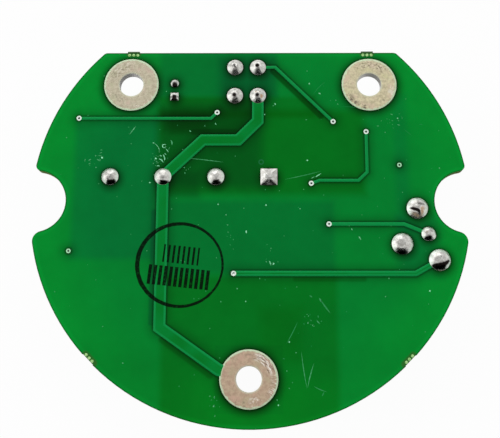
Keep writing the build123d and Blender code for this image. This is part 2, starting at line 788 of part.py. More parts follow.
# ---- copper on the component face ----
chip_pads_lower = [(x, chip_y - chip_pad_y) for x in chip_lead_x]
chip_pads_upper = [(x, chip_y + chip_pad_y) for x in chip_lead_x]
diode_pads = [(diode_x + side * (diode_end - 0.4), diode_y) for side in (-1, 1)]
resistor_tops = [(x, y + cap_reach) for x, y in resistor_points]
resistor_feet = [(x, y - cap_reach) for x, y in resistor_points]
capacitor_tops = [(x, y + cap_reach) for x, y in capacitor_points]
capacitor_feet = [(x, y - cap_reach) for x, y in capacitor_points]
component_routes = (
    (link_width, (left_via, (left_via[0], 10.6), terminal_points[0])),
    (link_width, (upper_via, header_points[2])),
    (link_width, (right_via, (right_via[0], 10.9), (chip_lead_x[0], 9.9), chip_pads_upper[0])),
    (link_width, (far_right_via, (chip_lead_x[3], 11.8), chip_pads_upper[3])),
    (link_width, (middle_via, (9.82, terminal_row_y), terminal_points[3])),
    (link_width, (signal_via, (signal_via[0], 1.86), chip_pads_lower[0])),
    (return_width, (return_via, (terminal_points[2][0], -9.6), terminal_points[2])),
    (return_width, (return_via, (return_via[0], -17.0), diode_pads[0])),
    (earth_width, (diode_pads[1], (diode_pads[1][0], -23.2), (2.4, -26.6))),
    (link_width, (terminal_points[3], (terminal_points[3][0], -1.7), resistor_tops[0])),
    (link_width, (resistor_feet[0], resistor_feet[1])),
    (link_width, (resistor_tops[1], (resistor_tops[1][0], -5.95), signal_via)),
    (link_width, (resistor_feet[2], (24.3, far_right_via[1]), far_right_via)),
    (link_width, (resistor_tops[2], (24.6, 18.2))),
    (link_width, (capacitor_tops[0], (right_via[0], 11.82))),
    (link_width, (capacitor_feet[0], (capacitor_feet[0][0], 5.48), middle_via)),
    (link_width, (capacitor_tops[1], (25.97, capacitor_tops[1][1]), edge_via)),
    (link_width, (capacitor_feet[1], (22.45, chip_pads_lower[3][1]), chip_pads_lower[3])),
    (link_width, (capacitor_tops[2], (terminal_points[0][0], -5.9), terminal_points[0])),
    (link_width, (capacitor_feet[2], (-30.88, capacitor_feet[2][1]), lower_left_via)),
)

with BuildPart() as component_tracks:
    with BuildSketch(Plane.XY.offset(seat)):
        for width, points in component_routes:
            draw_run(points, width)
        with Locations(*chip_pads_lower, *chip_pads_upper):
            Rectangle(0.62, 1.5)
        with Locations(*diode_pads):
            Rectangle(2.0, 2.4)
        with Locations(*resistor_tops, *resistor_feet, *capacitor_tops, *capacitor_feet):
            Rectangle(1.8, 1.1)
        clear_pads()
    extrude(amount=copper)
component_tracks.part.label = "component_tracks"
export_step(component_tracks.part, "parts/component_tracks.step")
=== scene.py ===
import math
import bpy
import numpy as np
from mathutils import Euler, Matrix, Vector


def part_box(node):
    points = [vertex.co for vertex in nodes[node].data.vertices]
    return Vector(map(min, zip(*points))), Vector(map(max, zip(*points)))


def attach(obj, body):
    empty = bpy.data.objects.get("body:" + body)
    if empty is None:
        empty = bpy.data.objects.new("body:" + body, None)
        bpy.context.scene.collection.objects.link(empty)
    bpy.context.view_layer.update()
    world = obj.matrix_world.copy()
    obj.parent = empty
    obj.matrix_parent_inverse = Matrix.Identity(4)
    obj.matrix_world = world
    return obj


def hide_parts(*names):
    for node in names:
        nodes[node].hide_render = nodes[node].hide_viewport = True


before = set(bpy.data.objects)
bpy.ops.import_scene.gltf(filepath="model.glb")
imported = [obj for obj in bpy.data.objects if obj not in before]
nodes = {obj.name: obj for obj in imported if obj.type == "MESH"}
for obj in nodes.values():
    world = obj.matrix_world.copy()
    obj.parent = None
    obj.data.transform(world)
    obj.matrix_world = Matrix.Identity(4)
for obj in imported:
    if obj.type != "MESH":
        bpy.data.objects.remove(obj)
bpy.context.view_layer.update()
scene = bpy.context.scene
mm = 0.001
print("frame loaded:", len(nodes), "nodes")


# places read from the frame, in millimetres

def boxOf(node):
    low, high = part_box(node)
    return np.array(low) / mm, np.array(high) / mm


def middleOf(node):
    low, high = boxOf(node)
    return (low + high) / 2


boardLow, boardHigh = boxOf("board")
faceHeight = boardHigh[2]               # the solder face
underHeight = boardLow[2]               # the component face
footHeight = boxOf("header_housing")[0][2]      # the lowest of the connectors, just above the floor
terminalRow = middleOf("terminal_solder")[1]
terminalPlaces = [(middleOf("terminal_plate_%d" % number)[0], terminalRow) for number in (1, 2, 3, 4)]
headerPlaces = [tuple(middleOf("header_pin_%d" % number)[:2]) for number in (1, 2, 3, 4)]
pinLow, pinHigh = boxOf("jumper_pins")
pinHalf = (pinHigh[0] - pinLow[0]) / 2
jumperPlaces = [
    ((pinLow[0] + pinHigh[0]) / 2, pinHigh[1] - pinHalf),
    ((pinLow[0] + pinHigh[0]) / 2, pinLow[1] + pinHalf),
]
jackCentre = tuple(middleOf("jack_contact")[:2])
jackLegs = {"circle": 4.96, "angles": (201, 291, 111)}      # three legs round the thin pin
jackPlaces = [
    (
        jackCentre[0] + jackLegs["circle"] * math.cos(math.radians(angle)),
        jackCentre[1] + jackLegs["circle"] * math.sin(math.radians(angle)),
    )
    for angle in jackLegs["angles"]
]
ringSides = ("left", "right", "bottom")
ringPlaces = {side: tuple(middleOf("mounting_ring_" + side)[:2]) for side in ringSides}
viaPlaces = {
    "left": (-31.15, 15.5),
    "upper": (-5.97, 16.6),
    "right": (15.1, 14.86),
    "farRight": (21.03, 12.94),
    "middle": (11.02, 3.3),
    "signal": (14.05, -4.1),
    "back": (-2.73, -12.92),
    "lowerLeft": (-31.83, -9.0),
    "edge": (26.82, 6.7),
}
# the laminate is round, with a flat upper edge and a half-round notch at each side
outlinePlan = {
    "centre": (0, -0.2),
    "radius": 39.06,
    "flatEdge": 28.2,
    "notches": ((-38.45, 0), (38.45, 0)),
    "notchRadius": 5.65,
}


# meshes from arrays

def makePiece(name, surfaces, material, stoodFor=(), sharpAngle=40):
    # surfaces: points in millimetres and face arrays, some with a mark value for each point
    points, faceSets, marks, count = [], [], [], 0
    for surfacePoints, surfaceFaces, *surfaceMarks in surfaces:
        points.append(surfacePoints)
        marks += surfaceMarks
        faceSets += [faces + count for faces in surfaceFaces]
        count += len(surfacePoints)
    corners = np.concatenate([faces.ravel() for faces in faceSets]).astype(np.int32)
    sizes = np.concatenate([np.full(len(faces), faces.shape[1]) for faces in faceSets])
    starts = np.concatenate([[0], np.cumsum(sizes)[:-1]]).astype(np.int32)
    mesh = bpy.data.meshes.new(name)
    mesh.vertices.add(count)
    mesh.vertices.foreach_set("co", (np.concatenate(points) * mm).astype(np.float32).ravel())
    mesh.loops.add(len(corners))
    mesh.loops.foreach_set("vertex_index", corners)
    mesh.polygons.add(len(sizes))
    mesh.polygons.foreach_set("loop_start", starts)
    mesh.polygons.foreach_set("use_smooth", np.ones(len(sizes), bool))
    mesh.update(calc_edges=True)
    mesh.validate()
    mesh.set_sharp_from_angle(angle=math.radians(sharpAngle))
    if marks:
        attribute = mesh.attributes.new("markValue", "FLOAT", "POINT")
        attribute.data.foreach_set("value", np.concatenate(marks).astype(np.float32))
    mesh.materials.append(material)
    piece = bpy.data.objects.new(name, mesh)
    scene.collection.objects.link(piece)
    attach(piece, "root")
    if stoodFor:
        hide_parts(*stoodFor)
    return piece


def gridFaces(rows, columns, closeRows=False, closeColumns=False):
    # four-sided faces between neighbours of a grid whose points are numbered row by row
    row = np.arange(rows if closeRows else rows - 1)[:, None]
    column = np.arange(columns if closeColumns else columns - 1)[None, :]
    nextRow, nextColumn = (row + 1) % rows, (column + 1) % columns
    corners = (
        row * columns + column,
        nextRow * columns + column,
        nextRow * columns + nextColumn,
        row * columns + nextColumn,
    )
    return np.stack(corners, axis=-1).reshape(-1, 4)


def turnedSurface(centre, profile, columns):
    # a closed profile of radius and height carried round an upright axis
    angle = np.linspace(0, 2 * np.pi, columns, endpoint=False)
    x = centre[0] + profile[:, 0, None] * np.cos(angle)
    y = centre[1] + profile[:, 0, None] * np.sin(angle)
    z = np.repeat(profile[:, 1, None], columns, axis=1)
    return np.stack([x, y, z], axis=-1).reshape(-1, 3), [gridFaces(len(profile), columns, True, True)]


def ripple(x, y, seed, waves, length, height):
    # a sum of plane waves of random heading and phase, about the given wave length and height
    draw = np.random.default_rng(seed)
    heading = draw.uniform(0, 2 * np.pi, waves)
    number = 2 * np.pi / (length * draw.uniform(0.7, 1.5, waves))
    phase = draw.uniform(0, 2 * np.pi, waves)
    along = x[..., None] * np.cos(heading) + y[..., None] * np.sin(heading)
    return height * np.sin(along * number + phase).mean(axis=-1) * 1.6


def moundSurface(centre, plan, seed, rows=40, columns=88):
    # polar grid from the crown out to the rim: share u of the radius, angle round the crown.
    # Height falls as (1 - u^round)^steep from the crown, less a pit at the middle, plus ripples
    # that fade to nothing at the rim; a skirt and a floor close it below. A square joint reaches
    # out to where |cos|^square + |sin|^square is 1. The mark at each point is a sum of spots, each
    # its depth times e^-(distance / radius)^4, and of wedges that open from a tip above or below the
    # pin; above 0 it paints dark reflection, shade and flux streaks, below 0 scorching.
    lobeNarrowness, wedgeEdge, thinnest, sunk = 6, 14, 0.01, -0.02
    share = np.sin(np.linspace(0, np.pi / 2, rows))[1:, None]
    angle = np.linspace(0, 2 * np.pi, columns, endpoint=False)[None, :]
    power = plan.get("square", 2)
    squareness = (np.abs(np.cos(angle)) ** power + np.abs(np.sin(angle)) ** power) ** (-1 / power)
    reach = plan["radius"] * share * (1 + (squareness - 1) * share ** plan.get("squareFrom", 1))
    lobe = plan.get("lobe")
    if lobe:                                # a tongue of solder towards one side
        turned = angle - math.radians(lobe["angle"])
        reach = reach * (1 + lobe["size"] * np.exp(-(1 - np.cos(turned)) * lobeNarrowness))
    x, y = reach * np.cos(angle), reach * np.sin(angle)
    height = plan["height"] * (1 - share ** plan["round"]) ** plan["steep"] + 0 * angle
    if "ridge" in plan:                     # four ridges run out to the corners
        diagonal = np.cos(4 * (angle - math.pi / 4)) * 0.5 + 0.5
        height = height + plan["ridge"] * diagonal * share * (1 - share ** 6)
    if "pit" in plan:
        pit = plan["pit"]
        away = np.hypot(x - pit["x"], y - pit["y"])
        height = height - pit["depth"] * np.exp(-((away / pit["radius"]) ** 2))
    height = height + ripple(x, y, seed, 7, plan["waves"], plan["waveHeight"]) * (1 - share ** 4)
    rim = plan["rim"]
    height = np.maximum(height, thinnest) + rim
    crown = plan["height"] + rim - (plan["pit"]["depth"] if "pit" in plan else 0)
    crown = min(crown, height[0].mean())
    top = np.array([[centre[0], centre[1], crown]])
    body = np.stack([centre[0] + x, centre[1] + y, height], axis=-1).reshape(-1, 3)
    shadeAndStainSpots = np.zeros((rows - 1, columns))
    for stainX, stainY, stainRadius, depth in plan.get("shadeAndStainSpots", ()):
        away = np.hypot(x - stainX, y - stainY)
        shadeAndStainSpots += depth * np.exp(-((away / stainRadius) ** 4))
    fromTip = y - plan.get("wedgeTip", 0)
    for direction, half, inner, outer, depth in plan.get("wedges", ()):
        turned = np.degrees(np.arctan2(fromTip, x)) - direction
        turned = (turned + 180) % 360 - 180
        away = np.hypot(x, fromTip)
        between = 1 / (1 + np.exp((inner - away) * wedgeEdge))
        between = between / (1 + np.exp((away - outer) * wedgeEdge))
        wedge = depth * np.exp(-((turned / half) ** 4)) * between
        shadeAndStainSpots = shadeAndStainSpots + wedge * (1 - np.clip(shadeAndStainSpots, 0, 1))
    skirt = np.stack([centre[0] + x[-1], centre[1] + y[-1], np.full(columns, sunk)], axis=-1)
    bottom = np.array([[centre[0], centre[1], sunk]])
    points = np.concatenate([top, body, skirt, bottom])
    quads = gridFaces(rows, columns, closeColumns=True) + 1
    around = np.arange(columns)
    following = (around + 1) % columns
    lastRow = 1 + (rows - 1) * columns
    crownFan = np.stack([0 * around, 1 + around, 1 + following], axis=-1)
    floorFan = np.stack([0 * around + len(points) - 1, lastRow + following, lastRow + around], axis=-1)
    marks = np.concatenate([[shadeAndStainSpots[0].mean()], shadeAndStainSpots.ravel(), np.zeros(columns + 1)])
    return points, [quads, crownFan, floorFan], marks


# small helpers for node trees

def link(tree, value, socket):
    if isinstance(value, bpy.types.NodeSocket):
        tree.links.new(value, socket)
    else:
        socket.default_value = value


def calc(tree, operation, first, second=None, third=None, clamp=False):
    node = tree.nodes.new("ShaderNodeMath")
    node.operation = operation
    node.use_clamp = clamp
    for index, value in enumerate((first, second, third)):
        if value is not None:
            link(tree, value, node.inputs[index])
    return node.outputs[0]


def vector(tree, operation, first, second=None, scale=None):
    node = tree.nodes.new("ShaderNodeVectorMath")
    node.operation = operation
    link(tree, first, node.inputs[0])
    if second is not None:
        link(tree, second, node.inputs[1])
    if scale is not None:
        link(tree, scale, node.inputs["Scale"])
    single = operation in ("DOT_PRODUCT", "DISTANCE", "LENGTH")
    return node.outputs["Value" if single else "Vector"]


def spread(tree, value, low, high, toLow=0.0, toHigh=1.0, smooth=True):
    node = tree.nodes.new("ShaderNodeMapRange")
    node.interpolation_type = "SMOOTHSTEP" if smooth else "LINEAR"
    amounts = {"Value": value, "From Min": low, "From Max": high, "To Min": toLow, "To Max": toHigh}
    for name, amount in amounts.items():
        link(tree, amount, node.inputs[name])
    return node.outputs["Result"]


def within(tree, value, low, high):
    # 1 between the two limits, and 0 outside them
    below, above = calc(tree, "LESS_THAN", value, high), calc(tree, "GREATER_THAN", value, low)
    return calc(tree, "MULTIPLY", below, above)


def blend(tree, factor, first, second, kind="MIX"):
    node = tree.nodes.new("ShaderNodeMix")
    node.data_type = "RGBA"
    node.blend_type = kind
    link(tree, factor, node.inputs[0])
    link(tree, first, node.inputs[6])
    link(tree, second, node.inputs[7])
    return node.outputs[2]


def noise(tree, place, scale, detail=3.0, roughness=0.55):
    node = tree.nodes.new("ShaderNodeTexNoise")
    tree.links.new(place, node.inputs["Vector"])
    node.inputs["Scale"].default_value = scale
    node.inputs["Detail"].default_value = detail
    node.inputs["Roughness"].default_value = roughness
    return node.outputs["Fac"]


def objectPlace(tree):
    # object coordinates in millimetres
    coordinates = tree.nodes.new("ShaderNodeTexCoord").outputs["Object"]
    return vector(tree, "SCALE", coordinates, scale=1 / mm)


def split(tree, place):
    node = tree.nodes.new("ShaderNodeSeparateXYZ")
    tree.links.new(place, node.inputs[0])
    return node.outputs[0], node.outputs[1], node.outputs[2]


def bump(tree, height, distance):
    node = tree.nodes.new("ShaderNodeBump")
    tree.links.new(height, node.inputs["Height"])
    node.inputs["Distance"].default_value = distance * mm
    return node.outputs["Normal"]


def newMaterial(name, roughness=0.5, metallic=0.0, ior=1.5, specular=0.5):
    material = bpy.data.materials.new(name)
    material.use_nodes = True
    tree = material.node_tree
    shader = tree.nodes["Principled BSDF"]
    shader.inputs["Roughness"].default_value = roughness
    shader.inputs["Metallic"].default_value = metallic
    shader.inputs["IOR"].default_value = ior
    shader.inputs["Specular IOR Level"].default_value = specular
    return material, tree, shader


# green mask, shared by the board and its tracks

trackPlans = {
    "earth_track": {
        "width": 2.1,
        "routes": (
            (headerPlaces[3], (1.45, 15.0), (-2.1, 11.38), (-8.45, 11.38), terminalPlaces[1]),
            (terminalPlaces[1], (-15.45, -22.3), (-5.2, -29.4), ringPlaces["bottom"]),
        ),
    },
    "left_link_track": {
        "width": 0.56,
        "routes": ((viaPlaces["left"], (-7.08, 15.48), viaPlaces["upper"]),),
    },
    "header_link_track": {
        "width": 0.56,
        "routes": ((headerPlaces[1], (4.62, 25.4), viaPlaces["right"]),),
    },
    "right_link_track": {
        "width": 0.56,
        "routes": (
            (viaPlaces["farRight"], (21.03, 5.4), (19.46, 3.86), (12.5, 3.86), viaPlaces["middle"]),
        ),
    },
    "jack_signal_track": {
        "width": 0.66,
        "routes": ((viaPlaces["signal"], (27.26, -4.08), (30.35, -5.36), jackCentre),),
    },
    "jack_return_track": {
        "width": 0.96,
        "routes": ((viaPlaces["back"], (29.0, -12.86), jackPlaces[1]),),
    },
}
padRadii = {
    "terminal": 1.5,
    "header": 1.45,
    "jumper": 0.74,
    "jackLeg": 1.86,
    "jackTail": 1.22,
    "via": 0.46,
    "ring": 5.0,
}
jointPads = (
    (terminalPlaces, padRadii["terminal"]),
    (headerPlaces, padRadii["header"]),
    (jumperPlaces, padRadii["jumper"]),
    (jackPlaces, padRadii["jackLeg"]),
    ([jackCentre], padRadii["jackTail"]),
)

maskPlan = {
    "green": (0.0003, 0.216, 0.0275, 1),
    # painted light: a brighter green towards the round rim, for light coming through the laminate
    "rimLitGreen": (0.0004, 0.262, 0.0265, 1),
    "rimLightReach": (25, 38.5),                 # distances at which the rim's green sets in and is full
    # painted shadow beside copper, and a fine line of painted shade at its edge
    "copperShadow": {"reach": 2.5, "fall": 2.2, "tint": (0.6, 0.56, 0.54, 1)},
    "line": {"from": 0.05, "to": 0.5, "tint": (0.5, 0.55, 0.55, 1)},
    "ringShade": {"reach": 1.6, "fall": 1.6, "shift": (0.05, -0.3), "tint": (0.4, 0.42, 0.36, 1)},
    "jointShade": {"reach": 1.5, "fall": 1.5, "shift": (0.2, -0.5), "tint": (0.6, 0.56, 0.5, 1)},
    # soft-edged rectangles where the parts on the far side stop the light:
    # middle, half sizes, softness, tint
    "shades": (
        ((-24.1, 2.4), (7.5, 12.8), 0.9, (0.8, 0.79, 1.16, 1)),
        ((0.1, -6.4), (14.9, 6.4), 0.8, (0.8, 0.81, 1.0, 1)),
        ((2.0, 9.2), (18.7, 8.0), 1.1, (0.7, 0.76, 0.4, 1)),
        ((-2.4, 17.6), (14.2, 2.0), 0.7, (0.7, 0.8, 0.5, 1)),
        ((-7.2, 10.2), (9.5, 8.0), 1.6, (0.6, 0.6, 0.8, 1)),
        ((-5.8, 24.2), (10.8, 4.6), 0.9, (0.8, 0.79, 1.0, 1)),
        ((-0.6, 22.4), (4.9, 4.6), 1.6, (0.7, 0.66, 0.86, 1)),
        ((0.1, -26.2), (15.2, 12.8), 0.9, (0.8, 0.78, 0.48, 1)),
        ((5.4, -23.4), (3.6, 4.6), 1.6, (0.9, 0.9, 0.7, 1)),
        ((0.0, -31.0), (5.8, 5.7), 0.15, (0.9, 0.93, 1.0, 1)),
        ((-7.0, 16.0), (7.6, 3.6), 0.7, (0.8, 0.78, 0.66, 1)),
        ((-11.6, 14.6), (4.2, 1.7), 1.0, (0.7, 0.72, 0.6, 1)),
        ((-12.0, 3.0), (3.0, 2.4), 1.0, (0.75, 0.72, 0.8, 1)),
        ((-20.0, -33.0), (9.0, 7.0), 3.5, (0.87, 0.85, 0.86, 1)),
        ((20.0, -32.0), (9.0, 6.0), 3.5, (0.93, 0.92, 0.97, 1)),
        ((27.2, 7.5), (1.2, 12.5), 0.9, (0.86, 0.88, 1.12, 1)),
        ((29.6, -8.0), (3.4, 5.0), 1.8, (0.72, 0.78, 1.15, 1)),
    ),
    # shade along one side of a run: start, end, half width, softness, tint
    "sideShades": (
        ((4.2, 24.6), (12.9, 15.9), 0.3, 0.45, (0.5, 0.46, 0.3, 1)),
        ((-10.2, 12.9), (-2.6, 12.9), 0.3, 0.5, (0.75, 0.72, 0.7, 1)),
        ((-16.9, -2.0), (-16.9, -21.5), 0.25, 0.5, (0.8, 0.72, 1.0, 1)),
        ((-15.0, -24.4), (-6.6, -30.4), 0.25, 0.5, (0.72, 0.7, 0.6, 1)),
        ((8.0, -13.9), (20.0, -13.9), 0.2, 0.4, (0.8, 0.75, 0.6, 1)),
    ),
    "coveredVia": {"place": (2.06, 7.25), "radius": 0.4, "colour": (0.02, 0.17, 0.075, 1)},
    # where tabs were broken off: resin bared along each run, and on the stubs of the flat edge
    "tornRuns": (
        ((-22.4, 28.1), (-20.8, 28.1)),
        ((20.8, 28.1), (22.4, 28.1)),
        ((-28.0, -26.9), (-26.5, -28.4)),
        ((28.0, -26.9), (26.5, -28.4)),
    ),
    "tornResin": (0.028, 0.12, 0.02, 1),
    "stubEdge": (28.15, 28.4),
    "stubResin": (0.22, 0.34, 0.17, 1),
    "halfDepth": -0.8,                      # below it, the mask of the component face is plain
    "stamp": {
        "centre": (-12.14, -11.4),
        "turn": -6,
        "radius": 7.48,
        "flat": 1.027,                      # how much lower than wide the ring is
        "line": 0.29,
        "thinning": -0.012,                 # the line grows thinner to the right
        "ink": (0.0008, 0.004, 0.0015, 1),
        # rows of bars: middle, half height, pitch, half length, half width of a bar
        "rows": ((1.75, 1.6, 1.75, 3.2, 0.2), (-2.2, 1.75, 1.85, 5.55, 0.29)),
    },
}


def buildMask():
    group = bpy.data.node_groups.new("greenMask", "ShaderNodeTree")
    kinds = {"Colour": "NodeSocketColor", "Copper": "NodeSocketFloat", "Ink": "NodeSocketFloat"}
    for name, kind in kinds.items():
        group.interface.new_socket(name, in_out="OUTPUT", socket_type=kind)
    place = objectPlace(group)
    up, height = split(group, place)[1:]
    flat = vector(group, "MULTIPLY", place, (1, 1, 0))

    def nearest(distances):
        found = distances[0]
        for distance in distances[1:]:
            found = calc(group, "MINIMUM", found, distance)
        return found

    def fromPoint(point, radius):
        return calc(group, "SUBTRACT", vector(group, "DISTANCE", flat, (*point, 0)), radius)

    def fromRun(start, end, half):
        # distance to a straight run: measured from its nearest point
        run = np.array(end) - np.array(start)
        offset = vector(group, "SUBTRACT", flat, (*start, 0))
        share = run / (run @ run)
        along = calc(group, "ADD", vector(group, "DOT_PRODUCT", offset, (*share, 0)), 0.0, clamp=True)
        foot = vector(group, "SCALE", (*run, 0), scale=along)
        return calc(group, "SUBTRACT", vector(group, "DISTANCE", offset, foot), half)

    def tinted(colour, share, tint):
        # the colour times the tint where the share is 1
        return blend(group, share, colour, blend(group, 1.0, colour, tint, "MULTIPLY"))

    def shaded(colour, distance, plan):
        # full at distance 0 and gone at the plan's reach
        far = spread(group, distance, 0.0, plan["reach"], 0.0, 1.0, smooth=False)
        share = calc(group, "POWER", calc(group, "SUBTRACT", 1.0, far), plan["fall"])
        return tinted(colour, share, plan["tint"])

    def moved(point, plan):
        return np.array(point) + plan["shift"]

    distances = [
        fromRun(start, end, plan["width"] / 2)
        for plan in trackPlans.values()
        for route in plan["routes"]
        for start, end in zip(route, route[1:])
    ]
    vias, rings = (viaPlaces.values(), padRadii["via"]), (ringPlaces.values(), padRadii["ring"])
    for points, radius in (*jointPads, vias, rings):
        distances += [fromPoint(point, radius) for point in points]
    copper = nearest(distances)

    # painted light: brighter towards the round edge, standing in for light coming through the laminate
    rimLight = spread(group, vector(group, "DISTANCE", flat, (0, 0, 0)), *maskPlan["rimLightReach"])
    plain = blend(group, rimLight, maskPlan["green"], maskPlan["rimLitGreen"])
    colour = plain
    for middle, half, soft, tint in maskPlan["shades"]:
        offset = vector(group, "ABSOLUTE", vector(group, "SUBTRACT", flat, (*middle, 0)))
        beyondX, beyondY = split(group, vector(group, "SUBTRACT", offset, (*half, 0)))[:2]
        outside = calc(group, "MAXIMUM", beyondX, beyondY)
        colour = tinted(colour, spread(group, outside, -soft, soft, 1.0, 0.0), tint)
    # painted shadow beside copper, strongest at its edge, where a fine line of painted shade is darker
    # still
    colour = shaded(colour, copper, maskPlan["copperShadow"])
    line = maskPlan["line"]
    colour = tinted(colour, spread(group, copper, line["from"], line["to"], 1.0, 0.0), line["tint"])
    # the raised rings throw a deeper shade, mostly downwards
    shade = maskPlan["ringShade"]
    beside = nearest([
        fromPoint(moved(point, shade), padRadii["ring"]) for point in ringPlaces.values()
    ])
    colour = shaded(colour, beside, shade)
    for start, end, half, soft, tint in maskPlan["sideShades"]:
        colour = tinted(colour, spread(group, fromRun(start, end, half), 0.0, soft, 1.0, 0.0), tint)
    # the joints throw a little shade below them
    shade = maskPlan["jointShade"]
    below = nearest([
        fromPoint(moved(point, shade), radius - 0.1)
        for points, radius in jointPads
        for point in points
    ])
    colour = shaded(colour, below, shade)
    # a via covered over by the mask shows as a faint ring
    covered = maskPlan["coveredVia"]
    circle = calc(group, "ABSOLUTE", fromPoint(covered["place"], covered["radius"]))
    colour = blend(group, spread(group, circle, 0.05, 0.14, 0.6, 0.0), colour, covered["colour"])
    # darker resin about the break-off tabs, and paler on their stubs
    torn = nearest([fromRun(start, end, 0.0) for start, end in maskPlan["tornRuns"]])
    colour = blend(group, spread(group, torn, 0.35, 0.8, 0.85, 0.0), colour, maskPlan["tornResin"])
    stubs = spread(group, up, *maskPlan["stubEdge"], 0.0, 0.9)
    colour = blend(group, stubs, colour, maskPlan["stubResin"])
    colour = blend(group, calc(group, "GREATER_THAN", height, maskPlan["halfDepth"]), plain, colour)
    # weave of the glass cloth and slow unevenness
    cloudy = spread(group, noise(group, place, 0.16, 2), 0.3, 0.7, 0.96, 1.04)
    fine = spread(group, noise(group, place, 0.7, 2), 0.3, 0.7, 0.985, 1.015)
    colour = vector(group, "SCALE", colour, scale=calc(group, "MULTIPLY", cloudy, fine))
    # the routed edge is a thin dark line, with a paler band of painted reflection inside it
    fromMiddle = vector(group, "DISTANCE", flat, (*outlinePlan["centre"], 0))
    fromEdge = nearest([
        calc(group, "SUBTRACT", outlinePlan["radius"], fromMiddle),
        calc(group, "SUBTRACT", outlinePlan["flatEdge"], up),
        *(fromPoint(notch, outlinePlan["notchRadius"]) for notch in outlinePlan["notches"]),
    ])
    darkLine = spread(group, fromEdge, 0.05, 0.3, 0.45, 1.0)
    edgeReflection = spread(group, fromEdge, 0.45, 1.0, 1.12, 1.0)
    colour = vector(group, "SCALE", colour, scale=calc(group, "MULTIPLY", darkLine, edgeReflection))

    # the inked stamp: a ring round two rows of plain upright bars
    stamp = maskPlan["stamp"]
    turn = group.nodes.new("ShaderNodeMapping")
    turn.vector_type = "TEXTURE"
    turn.inputs["Location"].default_value = (*stamp["centre"], 0)
    turn.inputs["Rotation"].default_value = (0, 0, math.radians(stamp["turn"]))
    group.links.new(flat, turn.inputs["Vector"])
    inkX, inkY = split(group, turn.outputs["Vector"])[:2]
    oval = vector(group, "MULTIPLY", turn.outputs["Vector"], (1, stamp["flat"], 1))
    wobble = calc(group, "MULTIPLY_ADD", noise(group, place, 0.9, 4, 0.6), 0.5, -0.25)
    circle = calc(group, "SUBTRACT", vector(group, "LENGTH", oval), stamp["radius"])
    circle = calc(group, "ABSOLUTE", circle)
    circle = calc(group, "MULTIPLY_ADD", wobble, 0.35, circle)
    line = calc(group, "MULTIPLY_ADD", inkX, stamp["thinning"], stamp["line"])
    ink = spread(group, calc(group, "SUBTRACT", circle, line), -0.04, 0.05, 1.0, 0.0)
    for middle, halfHeight, pitch, halfLength, thick in stamp["rows"]:
        # a triangle wave along the row; 20 pitches are added so that it never runs below 0
        cycle = calc(group, "PINGPONG", calc(group, "ADD", inkX, 20 * pitch), pitch / 2)
        fromBar = calc(group, "ABSOLUTE", calc(group, "SUBTRACT", cycle, pitch / 4))
        bar = spread(group, fromBar, thick - 0.03, thick + 0.03, 1.0, 0.0)
        fromRow = calc(group, "ABSOLUTE", calc(group, "SUBTRACT", inkY, middle))
        tall = spread(group, fromRow, halfHeight - 0.06, halfHeight + 0.02, 1.0, 0.0)
        wide = spread(group, calc(group, "ABSOLUTE", inkX), halfLength - 0.05, halfLength, 1.0, 0.0)
        row = calc(group, "MULTIPLY", calc(group, "MULTIPLY", bar, tall), wide)
        ink = calc(group, "MAXIMUM", ink, row)
    worn = spread(group, noise(group, place, 2.2, 4, 0.7), 0.3, 0.5, 0.72, 0.97)
    onFace = calc(group, "GREATER_THAN", height, -0.05)
    ink = calc(group, "MULTIPLY", calc(group, "MULTIPLY", ink, worn), onFace)

    out = group.nodes.new("NodeGroupOutput")
    group.links.new(colour, out.inputs["Colour"])
    group.links.new(copper, out.inputs["Copper"])
    group.links.new(ink, out.inputs["Ink"])
    return group


maskGroup = buildMask()


def maskNode(tree):
    node = tree.nodes.new("ShaderNodeGroup")
    node.node_tree = maskGroup
    return node


boardPlan = {
    # the sawn edge's colours are darkened as painted shade
    "laminate": (0.24, 0.31, 0.09, 1),
    "laminateDark": (0.09, 0.16, 0.035, 1),
    "layers": (0.6, 0.6, 9.0),              # how fine the cloth's pattern is along x, y and z
    "silk": (0.78, 0.80, 0.76, 1),
    # white outlines printed round the parts: node, margin
    "outlines": (
        ("terminal_base", 0.45),
        ("header_housing", 0.4),
        ("jumper_base", 0.3),
        ("control_chip", 0.25),
        ("surge_diode", 0.5),
    ),
    "line": 0.09,
}


